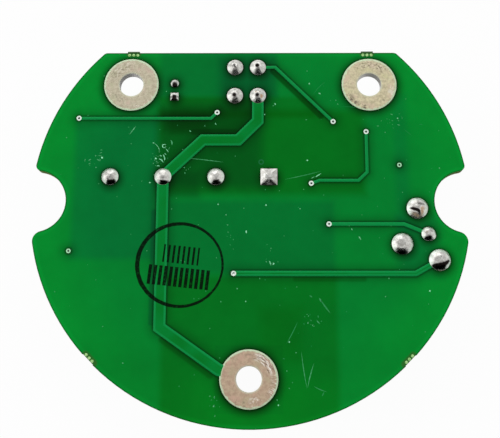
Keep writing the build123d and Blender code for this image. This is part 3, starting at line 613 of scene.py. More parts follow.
def boardMaterial():
    material, tree, shader = newMaterial("greenBoard", ior=1.4, specular=0.06)
    mask = maskNode(tree)
    place = objectPlace(tree)
    height = split(tree, place)[2]
    face = blend(tree, mask.outputs["Ink"], mask.outputs["Colour"], maskPlan["stamp"]["ink"])
    # component face: plain mask with white outlines
    under = calc(tree, "LESS_THAN", height, underHeight + 0.01)
    flat = vector(tree, "MULTIPLY", place, (1, 1, 0))
    fromOutline = None
    for node, margin in boardPlan["outlines"]:
        low, high = boxOf(node)
        middle, half = (low + high) / 2, (high - low) / 2 + margin
        offset = vector(tree, "ABSOLUTE", vector(tree, "SUBTRACT", flat, (*middle[:2], 0)))
        beyondX, beyondY = split(tree, vector(tree, "SUBTRACT", offset, (*half[:2], 0)))[:2]
        outline = calc(tree, "ABSOLUTE", calc(tree, "MAXIMUM", beyondX, beyondY))
        fromOutline = outline if fromOutline is None else calc(tree, "MINIMUM", fromOutline, outline)
    line = spread(tree, fromOutline, boardPlan["line"], boardPlan["line"] + 0.04, 1.0, 0.0)
    face = blend(tree, calc(tree, "MULTIPLY", line, under), face, boardPlan["silk"])
    # sawn edge: glass cloth in layers, its colours darkened as painted shade
    layers = noise(tree, vector(tree, "MULTIPLY", place, boardPlan["layers"]), 1.0, 2.0, 0.5)
    layers = spread(tree, layers, 0.35, 0.65)
    sawn = blend(tree, layers, boardPlan["laminateDark"], boardPlan["laminate"])
    inner = within(tree, height, underHeight + 0.03, faceHeight - 0.03)
    colour = blend(tree, inner, face, sawn)
    tree.links.new(colour, shader.inputs["Base Color"])
    rough = spread(tree, noise(tree, place, 0.8, 3), 0.3, 0.7, 0.13, 0.18)
    rough = calc(tree, "MAXIMUM", rough, calc(tree, "MULTIPLY", inner, 0.85))
    tree.links.new(rough, shader.inputs["Roughness"])
    finePeel = calc(tree, "MULTIPLY", noise(tree, place, 9.0, 2), 0.3)
    peel = calc(tree, "ADD", noise(tree, place, 2.2, 3), finePeel)
    tree.links.new(bump(tree, peel, 0.003), shader.inputs["Normal"])
    return material


nodes["board"].data.materials.clear()
nodes["board"].data.materials.append(boardMaterial())
print("board dressed")


# tracks: a soft-shouldered bead of mask carried along each route

beadPlan = {
    "height": 0.055,
    "shoulder": 0.16,
    "foot": 0.001,                          # where the shoulders end, just above the mask
    "sunk": -0.02,
    "steps": 7,
    "dark": (0.0006, 0.185, 0.019, 1),
    "light": (0.0008, 0.225, 0.034, 1),
    # painted highlight along the shoulders of each bead
    "shoulderHighlight": (0.004, 0.27, 0.060, 1),
    "trim": 0.3,                            # how far an end stops short of its via or joint
    "earthTrim": 1.0,
    "ringOverlap": 0.9,
}


def trackSurface(route, width, trimStart, trimEnd):
    # the bead's section is carried along the route and stretched at each corner by the mitre;
    # the top is flat and each shoulder falls as a cosine
    points = np.array(route, float)
    step = np.diff(points, axis=0)
    step /= np.linalg.norm(step, axis=1)[:, None]
    points[0] += step[0] * trimStart
    points[-1] -= step[-1] * trimEnd
    before, after = np.vstack([step[:1], step]), np.vstack([step, step[-1:]])
    tangent = before + after
    tangent /= np.linalg.norm(tangent, axis=1)[:, None]
    mitre = np.sum(tangent * before, axis=1)[:, None]
    side = np.stack([-tangent[:, 1], tangent[:, 0]], axis=-1) / mitre
    ease = np.linspace(0, 1, beadPlan["steps"])
    half, soft = width / 2, beadPlan["shoulder"]
    fall = (1 - np.cos(np.pi * ease)) / 2
    offsets = np.concatenate([soft * ease - half, half - soft * (1 - ease)])
    heights = np.concatenate([fall, fall[::-1]]) * beadPlan["height"] + beadPlan["foot"]
    ends = np.array([offsets[-1], offsets[0]])
    offsets = np.concatenate([offsets, ends])
    heights = np.concatenate([heights, [beadPlan["sunk"]] * 2])
    ground = points[:, None, :] + side[:, None, :] * offsets[None, :, None]
    z = np.repeat(heights[None, :], len(points), axis=0)
    surface = np.concatenate([ground, z[..., None]], axis=-1).reshape(-1, 3)
    count = len(offsets)
    body = gridFaces(len(points), count, closeColumns=True)
    startCap = np.arange(count)[None, :]
    endCap = (np.arange(count)[::-1] + (len(points) - 1) * count)[None, :]
    return surface, [body, startCap, endCap]


def trackMaterial():
    material, tree, shader = newMaterial("maskedCopper", 0.16, ior=1.4, specular=0.06)
    mask = maskNode(tree)
    place = objectPlace(tree)
    cloudy = spread(tree, noise(tree, place, 0.14, 2), 0.35, 0.65)
    base = blend(tree, cloudy, beadPlan["dark"], beadPlan["light"])
    # painted highlight near both edges of the bead
    shoulderGlint = spread(tree, mask.outputs["Copper"], -0.45, -0.28)
    colour = blend(tree, shoulderGlint, base, beadPlan["shoulderHighlight"])
    colour = blend(tree, mask.outputs["Ink"], colour, maskPlan["stamp"]["ink"])
    tree.links.new(colour, shader.inputs["Base Color"])
    peel = noise(tree, place, 2.5, 3)
    tree.links.new(bump(tree, peel, 0.003), shader.inputs["Normal"])
    return material


maskedCopper = trackMaterial()
for name, plan in trackPlans.items():
    trim = beadPlan["trim"]
    surfaces = [trackSurface(route, plan["width"], trim, trim) for route in plan["routes"]]
    if name == "earth_track":
        upper, lower = plan["routes"]
        trim, toRing = beadPlan["earthTrim"], padRadii["ring"] - beadPlan["ringOverlap"]
        surfaces = [
            trackSurface(upper, plan["width"], trim, trim),
            trackSurface(lower, plan["width"], trim, toRing),
        ]
    makePiece(name + "_bead", surfaces, maskedCopper, [name], sharpAngle=60)
print("tracks laid")


# tinned rings round the screw holes

ringPlan = {
    "bore": 2.2,
    "wall": 2.4,
    "radius": 5.0,
    "bulge": 0.03,
    "foil": 0.06,
    "columns": 128,
    "grain": (0.36, 0.32, 0.24, 1),
    "pits": (0.22, 0.18, 0.11, 1),
    # painted highlights along the rim and the bore
    "rimHighlight": (0.56, 0.745, 0.50, 1),
    "boreHighlight": (0.60, 0.66, 0.50, 1),
    # the bore's wall in painted light and painted shade
    "wallPale": (0.62, 0.60, 0.60, 1),
    "wallDark": (0.24, 0.23, 0.235, 1),
    "paleMark": (0.92, 0.88, 0.80, 1),
    "darkMark": (0.12, 0.085, 0.06, 1),
    "markSpacing": 7,                       # keeps the noise of one mark apart from the next
}


def ringSurface(centre):
    # one closed section carried round the hole: on the solder face the tin rises from bore and
    # rim as the root of half a sine wave, and the other face is flat
    backHeight = boxOf("mounting_ring_left")[0][2]
    bore, radius = ringPlan["bore"], ringPlan["radius"]
    rim, sleeve = radius + 0.005, ringPlan["wall"] - 0.01
    share = np.linspace(0, 1, 14)
    across = bore + 0.06 + (radius - bore - 0.12) * share
    crown = np.sin(np.pi * share) ** 0.5 * ringPlan["bulge"]
    top = np.stack([across, faceHeight + ringPlan["foil"] - 0.012 + crown], axis=-1)
    under = np.stack([across[::-1], np.full(len(share), backHeight + 0.012)], axis=-1)
    profile = np.concatenate([
        [(bore, backHeight + 0.05), (bore, faceHeight + 0.02)],
        top,
        [(rim, faceHeight + 0.02), (rim, faceHeight - 0.01)],
        [(sleeve, faceHeight - 0.01), (sleeve, underHeight + 0.01)],
        [(rim, underHeight + 0.01), (rim, backHeight + 0.03)],
        under,
    ])
    return turnedSurface(centre, profile, ringPlan["columns"])


def ringMarks(tree, colour, offset, marks):
    # each mark fills a stretch of the ring: middle and half angle in degrees, inner and outer
    # radius; its strokes come from noise over angle and radius, so they run round the ring or
    # across it
    away = vector(tree, "LENGTH", offset)
    for middle, half, inner, outer, fine, pale, dark in marks:
        turned = tree.nodes.new("ShaderNodeMapping")
        turned.vector_type = "TEXTURE"
        turned.inputs["Rotation"].default_value = (0, 0, math.radians(middle))
        tree.links.new(offset, turned.inputs["Vector"])
        turnedX, turnedY = split(tree, turned.outputs["Vector"])[:2]
        bearing = calc(tree, "ARCTAN2", turnedY, turnedX)
        limit = math.radians(half)
        zone = spread(tree, calc(tree, "ABSOLUTE", bearing), limit * 0.45, limit, 1.0, 0.0)
        zone = calc(tree, "MULTIPLY", zone, spread(tree, away, inner, inner + 0.5))
        zone = calc(tree, "MULTIPLY", zone, spread(tree, away, outer - 0.4, outer, 1.0, 0.0))
        grid = tree.nodes.new("ShaderNodeCombineXYZ")
        tree.links.new(calc(tree, "MULTIPLY", bearing, fine[0]), grid.inputs[0])
        tree.links.new(calc(tree, "MULTIPLY", away, fine[1]), grid.inputs[1])
        grid.inputs[2].default_value = math.radians(middle) * ringPlan["markSpacing"]
        streak = noise(tree, grid.outputs[0], 1.0, 4, 0.7)
        if dark:
            share = calc(tree, "MULTIPLY", zone, spread(tree, streak, 0.49, 0.38, 0.0, dark))
            colour = blend(tree, share, colour, ringPlan["darkMark"])
        if pale:
            share = calc(tree, "MULTIPLY", zone, spread(tree, streak, 0.51, 0.62, 0.0, pale))
            colour = blend(tree, share, colour, ringPlan["paleMark"])
    return colour


def ringMaterial(name, centre, light, dark, pink, olive, wallShade, marks):
    material, tree, shader = newMaterial(name, metallic=0.25)
    place = objectPlace(tree)
    height = split(tree, place)[2]
    mottle = noise(tree, place, 1.6, 5, 0.7)
    grain = noise(tree, place, 9.0, 4, 0.7)
    colour = blend(tree, spread(tree, mottle, 0.35, 0.65), dark, light)
    # slow drift between pinkish copper and olive tin
    drift = noise(tree, place, 0.42, 3, 0.6)
    colour = blend(tree, spread(tree, drift, 0.52, 0.66, 0.0, 0.75), colour, pink)
    colour = blend(tree, spread(tree, drift, 0.46, 0.34, 0.0, 0.7), colour, olive)
    colour = blend(tree, spread(tree, grain, 0.52, 0.72, 0.0, 0.35), colour, ringPlan["grain"])
    pits = spread(tree, noise(tree, place, 4.2, 2, 0.5), 0.66, 0.72, 0.0, 0.5)
    colour = blend(tree, pits, colour, ringPlan["pits"])
    flat = vector(tree, "MULTIPLY", place, (1, 1, 0))
    offset = vector(tree, "SUBTRACT", flat, (*centre, 0))
    colour = ringMarks(tree, colour, offset, marks)
    # painted highlight: a minty line along the rim, and a fainter one along the bore
    wander = spread(tree, mottle, 0.3, 0.7, -0.12, 0.12)
    away = calc(tree, "ADD", vector(tree, "LENGTH", offset), wander)
    rim = calc(tree, "SUBTRACT", away, ringPlan["radius"])
    colour = blend(tree, spread(tree, rim, -0.42, -0.15, 0.0, 0.85), colour, ringPlan["rimHighlight"])
    bore = calc(tree, "SUBTRACT", away, ringPlan["bore"])
    colour = blend(tree, spread(tree, bore, 0.12, 0.3, 0.45, 0.0), colour, ringPlan["boreHighlight"])
    # painted shade: the bore's wall is dark on one side and pale on the other
    wall = within(tree, height, underHeight - 0.015, faceHeight + 0.015)
    angle = math.radians(wallShade)
    shadeSide = (math.cos(angle), math.sin(angle), 0)
    toShade = vector(tree, "DOT_PRODUCT", vector(tree, "NORMALIZE", offset), shadeSide)
    shadow = spread(tree, toShade, 0.35, 0.95)
    wallTone = blend(tree, shadow, ringPlan["wallPale"], ringPlan["wallDark"])
    colour = blend(tree, calc(tree, "MULTIPLY", wall, 0.85), colour, wallTone)
    tree.links.new(colour, shader.inputs["Base Color"])
    tree.links.new(spread(tree, grain, 0.3, 0.7, 0.38, 0.6), shader.inputs["Roughness"])
    tree.links.new(bump(tree, calc(tree, "ADD", mottle, grain), 0.02), shader.inputs["Normal"])
    return material


# wallShade: the side on which the bore's wall is dark, in degrees
ringFinishes = {
    "left": {
        "light": (0.60, 0.545, 0.40, 1), "dark": (0.45, 0.40, 0.28, 1),
        "pink": (0.60, 0.47, 0.37, 1), "olive": (0.50, 0.49, 0.32, 1), "wallShade": 140,
        # marks: middle, half angle, inner and outer radius, fineness round and outwards, pale, dark
        "marks": (
            (125, 50, 2.6, 4.6, (6, 2.6), 0.3, 0.5),
            (228, 28, 2.7, 4.2, (7, 3.0), 0.0, 0.5),
            (-55, 50, 3.4, 4.9, (8, 1.6), 0.4, 0.0),
        ),
    },
    "right": {
        "light": (0.72, 0.645, 0.42, 1), "dark": (0.49, 0.43, 0.27, 1),
        "pink": (0.68, 0.54, 0.39, 1), "olive": (0.66, 0.63, 0.36, 1), "wallShade": 52,
        "marks": (
            (82, 52, 3.0, 4.7, (8, 3.4), 0.25, 0.9),
            (235, 42, 3.7, 5.1, (6, 0.9), 0.0, 0.95),
            (210, 30, 3.4, 4.6, (4, 1.2), 0.0, 0.4),
            (-50, 3.2, 2.1, 4.4, (0.4, 0.4), 0.0, 0.5),
            (-8, 30, 3.4, 4.9, (3, 0.8), 0.5, 0.0),
        ),
    },
    "bottom": {
        "light": (0.575, 0.43, 0.295, 1), "dark": (0.45, 0.31, 0.215, 1),
        "pink": (0.60, 0.39, 0.29, 1), "olive": (0.50, 0.415, 0.265, 1), "wallShade": 90,
        "marks": (
            (44, 40, 3.1, 5.0, (2.4, 2.6), 1.0, 1.0),
            (50, 30, 3.4, 4.9, (5, 5.0), 0.8, 0.7),
            (-16, 34, 3.6, 5.1, (17, 0.7), 0.75, 0.5),
            (-72, 22, 2.9, 4.7, (8, 2.0), 0.7, 0.2),
            (-112, 26, 3.5, 4.9, (6, 2.0), 0.0, 0.5),
            (88, 24, 3.2, 4.6, (5, 2.0), 0.0, 0.3),
        ),
    },
}
for side, plan in ringFinishes.items():
    makePiece(
        "tinned_ring_" + side,
        [ringSurface(ringPlaces[side])],
        ringMaterial("tinnedRing_" + side, ringPlaces[side], **plan),
        ["mounting_ring_" + side],
        sharpAngle=50,
    )
print("rings tinned")


# solder joints

solderPlan = {
    "light": (0.675, 0.67, 0.635, 1),
    "dark": (0.455, 0.445, 0.415, 1),
    "dull": (0.33, 0.29, 0.27, 1),
    # painted reflection of the board on steep flanks
    "green": (0.60, 0.72, 0.62, 1),
    "fluxAndDarkReflection": (0.012, 0.009, 0.008, 1),
    "scorched": (0.50, 0.30, 0.15, 1),
}


def solderMaterial():
    material, tree, shader = newMaterial("brightSolder")
    place = objectPlace(tree)
    cloud = noise(tree, place, 1.7, 4, 0.65)
    grain = noise(tree, place, 7.0, 3, 0.6)
    colour = blend(tree, spread(tree, cloud, 0.38, 0.62), solderPlan["dark"], solderPlan["light"])
    dull = spread(tree, noise(tree, place, 3.1, 3, 0.6), 0.6, 0.72, 0.0, 0.6)
    colour = blend(tree, dull, colour, solderPlan["dull"])
    # painted reflection: steep flanks take the green of the board beside them
    facing = tree.nodes.new("ShaderNodeNewGeometry").outputs["Normal"]
    steep = spread(tree, split(tree, facing)[2], 0.9, 0.72, 0.0, 0.8)
    above = calc(tree, "GREATER_THAN", split(tree, place)[2], 0.0)
    colour = blend(tree, calc(tree, "MULTIPLY", steep, above), colour, solderPlan["green"])
    markValue = tree.nodes.new("ShaderNodeAttribute")
    markValue.attribute_name = "markValue"
    # marks above 0: painted dark reflection and painted shade, with flux streaks; below 0: scorched
    fluxAndDarkReflection = calc(tree, "MULTIPLY", markValue.outputs["Fac"], 1.0, clamp=True)
    scorched = calc(tree, "MULTIPLY", markValue.outputs["Fac"], -1.0, clamp=True)
    colour = blend(tree, fluxAndDarkReflection, colour, solderPlan["fluxAndDarkReflection"])
    colour = blend(tree, scorched, colour, solderPlan["scorched"])
    tree.links.new(calc(tree, "SUBTRACT", 1.0, scorched), shader.inputs["Metallic"])
    tree.links.new(colour, shader.inputs["Base Color"])
    tree.links.new(spread(tree, grain, 0.3, 0.7, 0.09, 0.24), shader.inputs["Roughness"])
    relief = calc(tree, "ADD", cloud, calc(tree, "MULTIPLY", grain, 0.06))
    tree.links.new(bump(tree, relief, 0.05), shader.inputs["Normal"])
    return material


brightSolder = solderMaterial()
rimHeight = 0.065
# spots of shade and stain: x, y, radius and depth of each spot; wedges: heading, half angle, from, to
# and depth
jointPlans = {
    "terminal": {
        "radius": 1.51, "height": 0.62, "round": 2.3, "steep": 1.0, "waves": 1.4, "waveHeight": 0.03,
        "rim": rimHeight,
    },
    "terminalSquare": {
        "radius": 1.51, "height": 0.52, "round": 1.5, "steep": 1.4, "waves": 1.6, "waveHeight": 0.02,
        "rim": rimHeight, "square": 16, "squareFrom": 0.6, "ridge": 0.17,
        "shadeAndStainSpots": (
            (0.1, -0.3, 0.26, 0.22), (0.12, 0.15, 0.22, 0.24), (0.1, 0.5, 0.24, 0.14),
            (1.0, 0.0, 0.75, 0.12), (0.2, 1.2, 0.6, 0.2),
        ),
        "wedgeTip": -0.15,
        "wedges": (
            (-90, 44, 0.35, 3.0, 0.2), (-90, 46, 0.8, 3.0, 0.35), (-90, 48, 1.1, 3.0, 0.8),
            (90, 40, 0.5, 3.0, 0.3),
        ),
    },
    "header": {
        "radius": 1.46, "height": 0.8, "round": 1.1, "steep": 1.0, "waves": 1.6, "waveHeight": 0.012,
        "rim": rimHeight, "pit": {"x": -0.08, "y": 0.0, "radius": 0.32, "depth": 0.38},
        "shadeAndStainSpots": ((-0.08, -0.02, 0.36, 1.5),), "wedgeTip": 0.15,
        "wedges": ((-88, 33, 0.2, 1.0, 0.62), (-98, 78, 1.3, 2.0, 0.3)),
    },
    "jumper": {
        "radius": 0.75, "height": 0.36, "round": 2.4, "steep": 0.9, "waves": 0.9, "waveHeight": 0.01,
        "rim": rimHeight, "pit": {"x": 0.0, "y": -0.16, "radius": 0.36, "depth": 0.2},
        "shadeAndStainSpots": ((0.03, -0.28, 0.5, 1.0), (0.03, -0.6, 0.46, 0.95)),
    },
    "jumperSquare": {
        "radius": 0.75, "height": 0.36, "round": 1.6, "steep": 1.0, "waves": 0.9, "waveHeight": 0.01,
        "rim": rimHeight, "square": 12, "squareFrom": 0.5, "ridge": 0.1,
        "pit": {"x": 0.0, "y": -0.12, "radius": 0.36, "depth": 0.2},
        "shadeAndStainSpots": (
            (0.0, -0.14, 0.44, 1.3), (0.0, -0.62, 0.44, 1.1), (0.66, -0.1, 0.2, 0.6),
            (-0.66, -0.1, 0.2, 0.6),
        ),
    },
    "jackLeg": {
        "radius": 1.87, "height": 0.72, "round": 2.4, "steep": 1.0, "waves": 1.6, "waveHeight": 0.05,
        "rim": rimHeight,
    },
    "jackTail": {
        "radius": 1.21, "height": 0.52, "round": 2.2, "steep": 1.0, "waves": 1.0, "waveHeight": 0.04,
        "rim": rimHeight, "lobe": {"angle": -28, "size": 0.14},
        "shadeAndStainSpots": ((-0.1, -0.62, 0.4, 0.85), (0.3, -0.6, 0.3, 0.7), (0.45, 0.5, 0.3, 0.3)),
    },
}
# what differs from joint to joint: marks above 0 darken, as painted dark reflection at the foot of a
# joint, painted shade in its pit and flux streaks; marks below 0 are scorched
ownMarks = {
    "terminal": (
        {"shadeAndStainSpots": (
            (0.5, 0.5, 0.15, 0.4), (0.27, 0.15, 0.15, 0.45), (0.05, -0.2, 0.17, 0.4),
            (-0.3, -0.52, 0.2, 0.5), (0.3, -0.55, 0.5, 0.28), (0.1, 0.9, 0.2, 0.3),
            (-0.15, -0.98, 0.36, 1.0), (0.35, -0.98, 0.36, 1.0), (0.85, -0.9, 0.34, 0.95),
        )},
        {"shadeAndStainSpots": (
            (0.1, -0.35, 0.3, 0.35), (-0.3, 0.4, 0.3, 0.12), (-0.25, -0.92, 0.22, 0.9),
            (0.1, -0.98, 0.3, 1.0), (0.5, -1.0, 0.3, 0.9), (0.95, -1.0, 0.3, 0.7),
        )},
        {"shadeAndStainSpots": (
            (0.1, -0.35, 0.24, 0.35), (-0.4, 0.3, 0.25, 0.12), (0.35, 0.35, 0.2, 0.15),
            (-0.2, -0.9, 0.3, 0.9), (0.25, -0.92, 0.34, 1.0),
        )},
    ),
    "header": (
        {
            "shadeAndStainSpots": (
                (-0.2, 0.46, 0.18, 0.7), (-0.1, 0.16, 0.22, 0.8), (0.06, -0.1, 0.2, 0.75),
                (0.45, 0.25, 0.16, 0.4), (-0.45, 0.2, 0.14, 0.5),
            ),
            "wedges": ((-88, 42, 0.15, 1.0, 0.62), (-92, 84, 1.3, 2.0, 0.35)),
        },
        {
            "pit": {"x": -0.1, "y": 0.22, "radius": 0.34, "depth": 0.42},
            "shadeAndStainSpots": ((-0.1, 0.22, 0.38, 1.6), (-0.3, 0.02, 0.2, 0.4)),
            "wedges": ((-92, 34, 0.2, 1.05, 0.66), (-92, 80, 1.3, 2.0, 0.35)),
        },
        {},
        {
            "shadeAndStainSpots": (
                (-0.1, -0.03, 0.34, 1.5), (0.66, -0.15, 0.28, -0.85), (0.62, -0.5, 0.24, -0.5),
                (-0.35, 0.6, 0.24, -0.35), (0.3, 0.55, 0.16, -0.3),
            ),
            "wedges": ((-98, 30, 0.2, 1.0, 0.6), (-110, 72, 1.3, 2.0, 0.3)),
        },
    ),
    "jackLeg": (
        {"shadeAndStainSpots": (
            (-0.95, 0.15, 0.35, 0.2), (0.1, 0.5, 0.2, 0.12), (-0.6, -1.66, 0.3, 0.8),
            (-0.15, -1.72, 0.36, 0.95), (0.3, -1.66, 0.3, 0.7), (0.35, 0.1, 0.22, 0.14),
        )},
        {"shadeAndStainSpots": (
            (-1.2, -1.05, 0.3, 1.0), (-0.8, -1.05, 0.42, 1.0), (-0.3, -1.05, 0.54, 1.0),
            (0.25, -1.0, 0.56, 1.0), (0.75, -0.75, 0.46, 1.0), (1.15, -0.45, 0.34, 1.0),
            (1.45, -0.2, 0.24, 0.9), (0.15, 0.55, 0.16, 0.4), (0.4, 0.25, 0.2, 0.25),
            (-0.3, -1.82, 0.22, -0.36), (0.1, -1.86, 0.22, -0.4), (0.5, -1.8, 0.2, -0.36),
        )},
        {"round": 2.0, "height": 0.82, "shadeAndStainSpots": (
            (-1.25, -0.1, 0.2, 0.7), (-0.95, -0.16, 0.26, 1.1), (-0.6, -0.3, 0.3, 1.3),
            (-0.2, -0.42, 0.3, 1.3), (0.1, -0.58, 0.28, 1.2), (0.28, -0.85, 0.26, 0.8),
            (0.4, -1.15, 0.22, 0.5), (-0.85, 0.5, 0.26, 0.3), (-0.45, 0.66, 0.26, 0.4),
            (0.0, 0.72, 0.28, 0.5), (0.45, 0.72, 0.28, 0.55), (0.85, 0.7, 0.26, 0.5),
            (1.15, 0.6, 0.2, 0.4), (0.3, 0.35, 0.4, 0.2), (-0.75, -1.15, 0.4, -0.42),
            (-0.25, -1.3, 0.42, -0.5), (0.1, -1.55, 0.3, -0.4), (0.55, -0.2, 0.24, -0.3),
            (0.8, -0.1, 0.4, -0.55), (0.7, -0.75, 0.34, -0.85), (0.55, -1.25, 0.3, -0.7),
        )},
    ),
}


def jointRow(kind, points, firstSeed):
    own = ownMarks.get(kind, ({},) * len(points))
    return [
        moundSurface(point, {**jointPlans[kind], **marks}, firstSeed + index)
        for index, (point, marks) in enumerate(zip(points, own))
    ]


# for each connector: kind of joint, places, seed of the first one's ripples
jointGroups = {
    "terminal": (("terminal", terminalPlaces[:3], 11), ("terminalSquare", terminalPlaces[3:], 15)),
    "header": (("header", headerPlaces, 21),),
    "jumper": (("jumper", jumperPlaces[:1], 31), ("jumperSquare", jumperPlaces[1:], 32)),
    "jack": (("jackLeg", jackPlaces, 41), ("jackTail", [jackCentre], 45)),
}
for name, rows in jointGroups.items():
    mounds = [mound for row in rows for mound in jointRow(*row)]
    makePiece(name + "_joints", mounds, brightSolder, [name + "_solder"], sharpAngle=75)
print("joints soldered")


# scuffs and specks on the mask

scuffPlan = {
    # where small nicks gather: middle, spread, how many, length
    "clusters": (
        ((-16.3, 8.3), (1.5, 1.8), 20, 0.2),
        ((-12.4, 6.7), (1.6, 1.6), 12, 0.25),
        ((-27.9, 7.9), (1.3, 1.5), 9, 0.2),
        ((-15.7, 4.2), (2.6, 1.1), 9, 0.25),
        ((10.9, -20.9), (1.4, 3.0), 12, 0.3),
        ((-3.4, -7.4), (0.7, 2.6), 9, 0.3),
        ((-6, -34.4), (0.6, 1.6), 8, 0.3),
        ((25.7, 15.3), (1.8, 1.2), 12, 0.3),
        ((3.5, -10.4), (0.5, 1.4), 6, 0.3),
    ),
    # marks one by one: start, heading, length, bend, width, paleness
    "marks": (
        # above the second terminal
        (-17.58, 10.91, -26, 2.19, -60, 0.9, 0.75), (-15.15, 10.13, 92, 1.86, 330, 1.2, 0.9),
        (-15.26, 9.86, -51, 0.89, 0, 1.1, 0.75), (-14.4, 11.43, -44, 1, -60, 1.8, 0.6),
        (-14.46, 10.18, -104, 0.75, 0, 0.7, 0.4), (-15.78, 8.72, -41, 1.2, -58, 1.6, 0.85),
        (-16.28, 8.51, -26, 0.42, 0, 1.9, 0.85), (-16.46, 7.78, 4, 0.97, -80, 1.6, 0.9),
        (-17.16, 8.04, -31, 0.46, 0, 2, 0.95), (-16.95, 7.42, -26, 0.35, 0, 1.2, 0.5),
        (-16.77, 6.38, 50, 0.59, -90, 1.5, 0.8), (-15.39, 8.92, -46, 0.43, 0, 1.3, 0.7),
        (-13.06, 6.02, 0, 0.3, 0, 1.6, 0.7), (-17.63, 10.92, -26, 0.35, 0, 2, 0.7),
        # at the left end of the terminal row
        (-27.2, 8.81, 27, 0.54, 0, 1.1, 0.5), (-27.08, 9.48, 0, 0.4, 0, 1.8, 0.4),
        (-27.54, 8.34, 30, 0.95, -80, 1.1, 0.5), (-26.82, 8.15, -31, 0.35, 0, 2.4, 1),
        (-27.66, 7.82, -29, 0.76, 0, 1.5, 0.5), (-29.13, 7.42, 37, 0.54, 0, 1.5, 0.6),
        (-29.1, 6.8, 27, 0.44, 0, 1.3, 0.5), (-27.79, 6.23, 0, 0.22, 0, 1.5, 0.6),
        # long scratches
        (-21.99, 12.23, 53, 1.93, 4, 1.1, 0.65), (-11.76, 8, -5, 6.32, -3, 1, 0.5),
        (11.42, 19.65, 64, 3.46, -30, 0.8, 0.16), (5.55, 3.88, 11, 6.58, 4, 1, 0.4),
        (11.62, 4.35, 34, 1.3, 0, 1.3, 0.85), (10.93, 4.14, 31, 0.7, 0, 1.1, 0.7),
        (15.98, 17.83, -4, 4.37, 0, 0.6, 0.15),
        (8.55, -20.81, -113, 4.16, -8, 1.2, 0.28), (8.88, -25.52, -85, 6.28, 6, 1.2, 0.38),
        (11.28, -27.75, -111, 4.26, 10, 1.5, 0.42), (10.39, -16.7, -30, 0.57, 0, 1.8, 0.4),
        (12.18, -17.17, -59, 2.83, 8, 1.8, 0.34), (12.09, -17.08, -61, 0.85, 0, 2.2, 0.4),
        (11.56, -20.8, -66, 0.94, 30, 1.4, 0.4), (11.86, -20.04, -81, 0.47, 0, 1.2, 0.3),
        (10.76, -31.91, -34, 2.38, 20, 1.2, 0.34), (12.78, -32.9, -116, 0.83, 0, 1.2, 0.3),
        # specks that stand out
        (-5.74, -0.55, 0, 0.25, 0, 2.2, 0.9), (2.77, -0.67, 0, 0.27, 0, 2.2, 0.9),
        (-13.17, 0.55, 0, 0.2, 0, 1.6, 0.4), (-2.89, 12.23, 0, 0.26, 0, 2, 0.9),
        (2.56, 16.24, 0, 0.22, 0, 1.8, 0.8), (4.52, 18.48, -71, 0.42, 0, 1.8, 0.8),
        (4.12, 17.84, 21, 0.24, 0, 1.4, 0.6), (-10.93, 13.28, -76, 0.42, 50, 1.5, 0.8),
        (-6.23, 14.66, -111, 0.42, 90, 1.4, 0.8), (-18.04, 3.41, 0, 0.27, 0, 2.2, 0.8),
        (-15.56, 2.28, -31, 0.3, 0, 1.6, 0.6), (-11.71, 5.36, -60, 0.31, 0, 1.5, 0.6),
        (-4.26, -2.47, 0, 0.19, 0, 1.8, 0.7), (-0.56, -5.17, -90, 0.55, 0, 1.8, 0.95),
        (3.39, -10.6, -51, 0.88, -30, 2, 0.75), (4.05, -11.38, 41, 0.39, 0, 1.8, 0.9),
        (-2.22, -15.57, 0, 0.21, 0, 1.9, 0.7), (-0.72, -17.78, 0, 0.21, 0, 1.9, 0.7),
        (6.74, -24.69, 0, 0.26, 0, 2.2, 0.8), (-11.92, -32.18, 0, 0.2, 0, 1.6, 0.4),
        (-5.78, -33.71, -99, 0.46, 20, 1.5, 0.5), (-6.03, -35.63, 60, 0.45, 0, 1.6, 0.6),
        (4.83, -35.22, 0, 0.28, 0, 2.4, 0.9), (4.74, -34.22, -70, 0.27, 0, 1.4, 0.5),
        (10.37, 24.62, 0, 0.24, 0, 1.6, 0.5), (10.85, 22.35, -81, 0.32, 0, 1.8, 0.8),
        (12.43, 20.35, -12, 0.5, -20, 1.6, 0.7), (15.6, 19.12, -63, 0.31, 0, 1.5, 0.5),
        (15.89, 18.37, -53, 0.31, 0, 1.3, 0.4), (26.64, 15.49, 0, 0.26, 0, 2, 0.9),
        (25.48, 16.34, -22, 0.49, 0, 1.2, 0.5), (26.6, 14.33, -16, 0.59, 0, 1.4, 0.5),
        (22.93, 14.02, 0, 0.45, 0, 1.4, 0.5), (27.66, 13.59, -41, 1.88, 0, 0.8, 0.15),
        (30.55, 14.33, 0, 0.69, 0, 0.9, 0.2), (10.18, 7.54, 0, 0.29, 0, 2.2, 0.9),
        (31.11, -15.87, 0, 0.28, 0, 2.4, 0.9), (19.16, -6.23, -52, 0.73, -10, 1.5, 0.75),
        (17.29, -3.94, -57, 0.59, 0, 1.4, 0.6), (17.94, -4.84, -62, 0.39, 0, 1.4, 0.7),
        (8.83, -1.34, 0, 0.23, 0, 1.8, 0.6), (30.06, -22.92, 0, 0.19, 0, 1.6, 0.35),
        (24.2, -13.57, -62, 0.28, 0, 1.5, 0.6), (5.99, -6.25, 0, 0.19, 0, 1.5, 0.4),
    ),
    # fine specks are spread at random within reach, clear of edges, joints and rings
    "specks": 130,
    "reach": 37.5,
    "topEdge": 27,
    "notchClear": 6.3,
    "jointClear": 2.2,
    "ringClear": 5.4,
    "width": 0.11,
    "height": 0.006,
    "sunk": -0.01,
    "steps": 9,
    "faint": (0.006, 0.25, 0.056, 1),
    "pale": (0.38, 1.0, 0.62, 1),
}


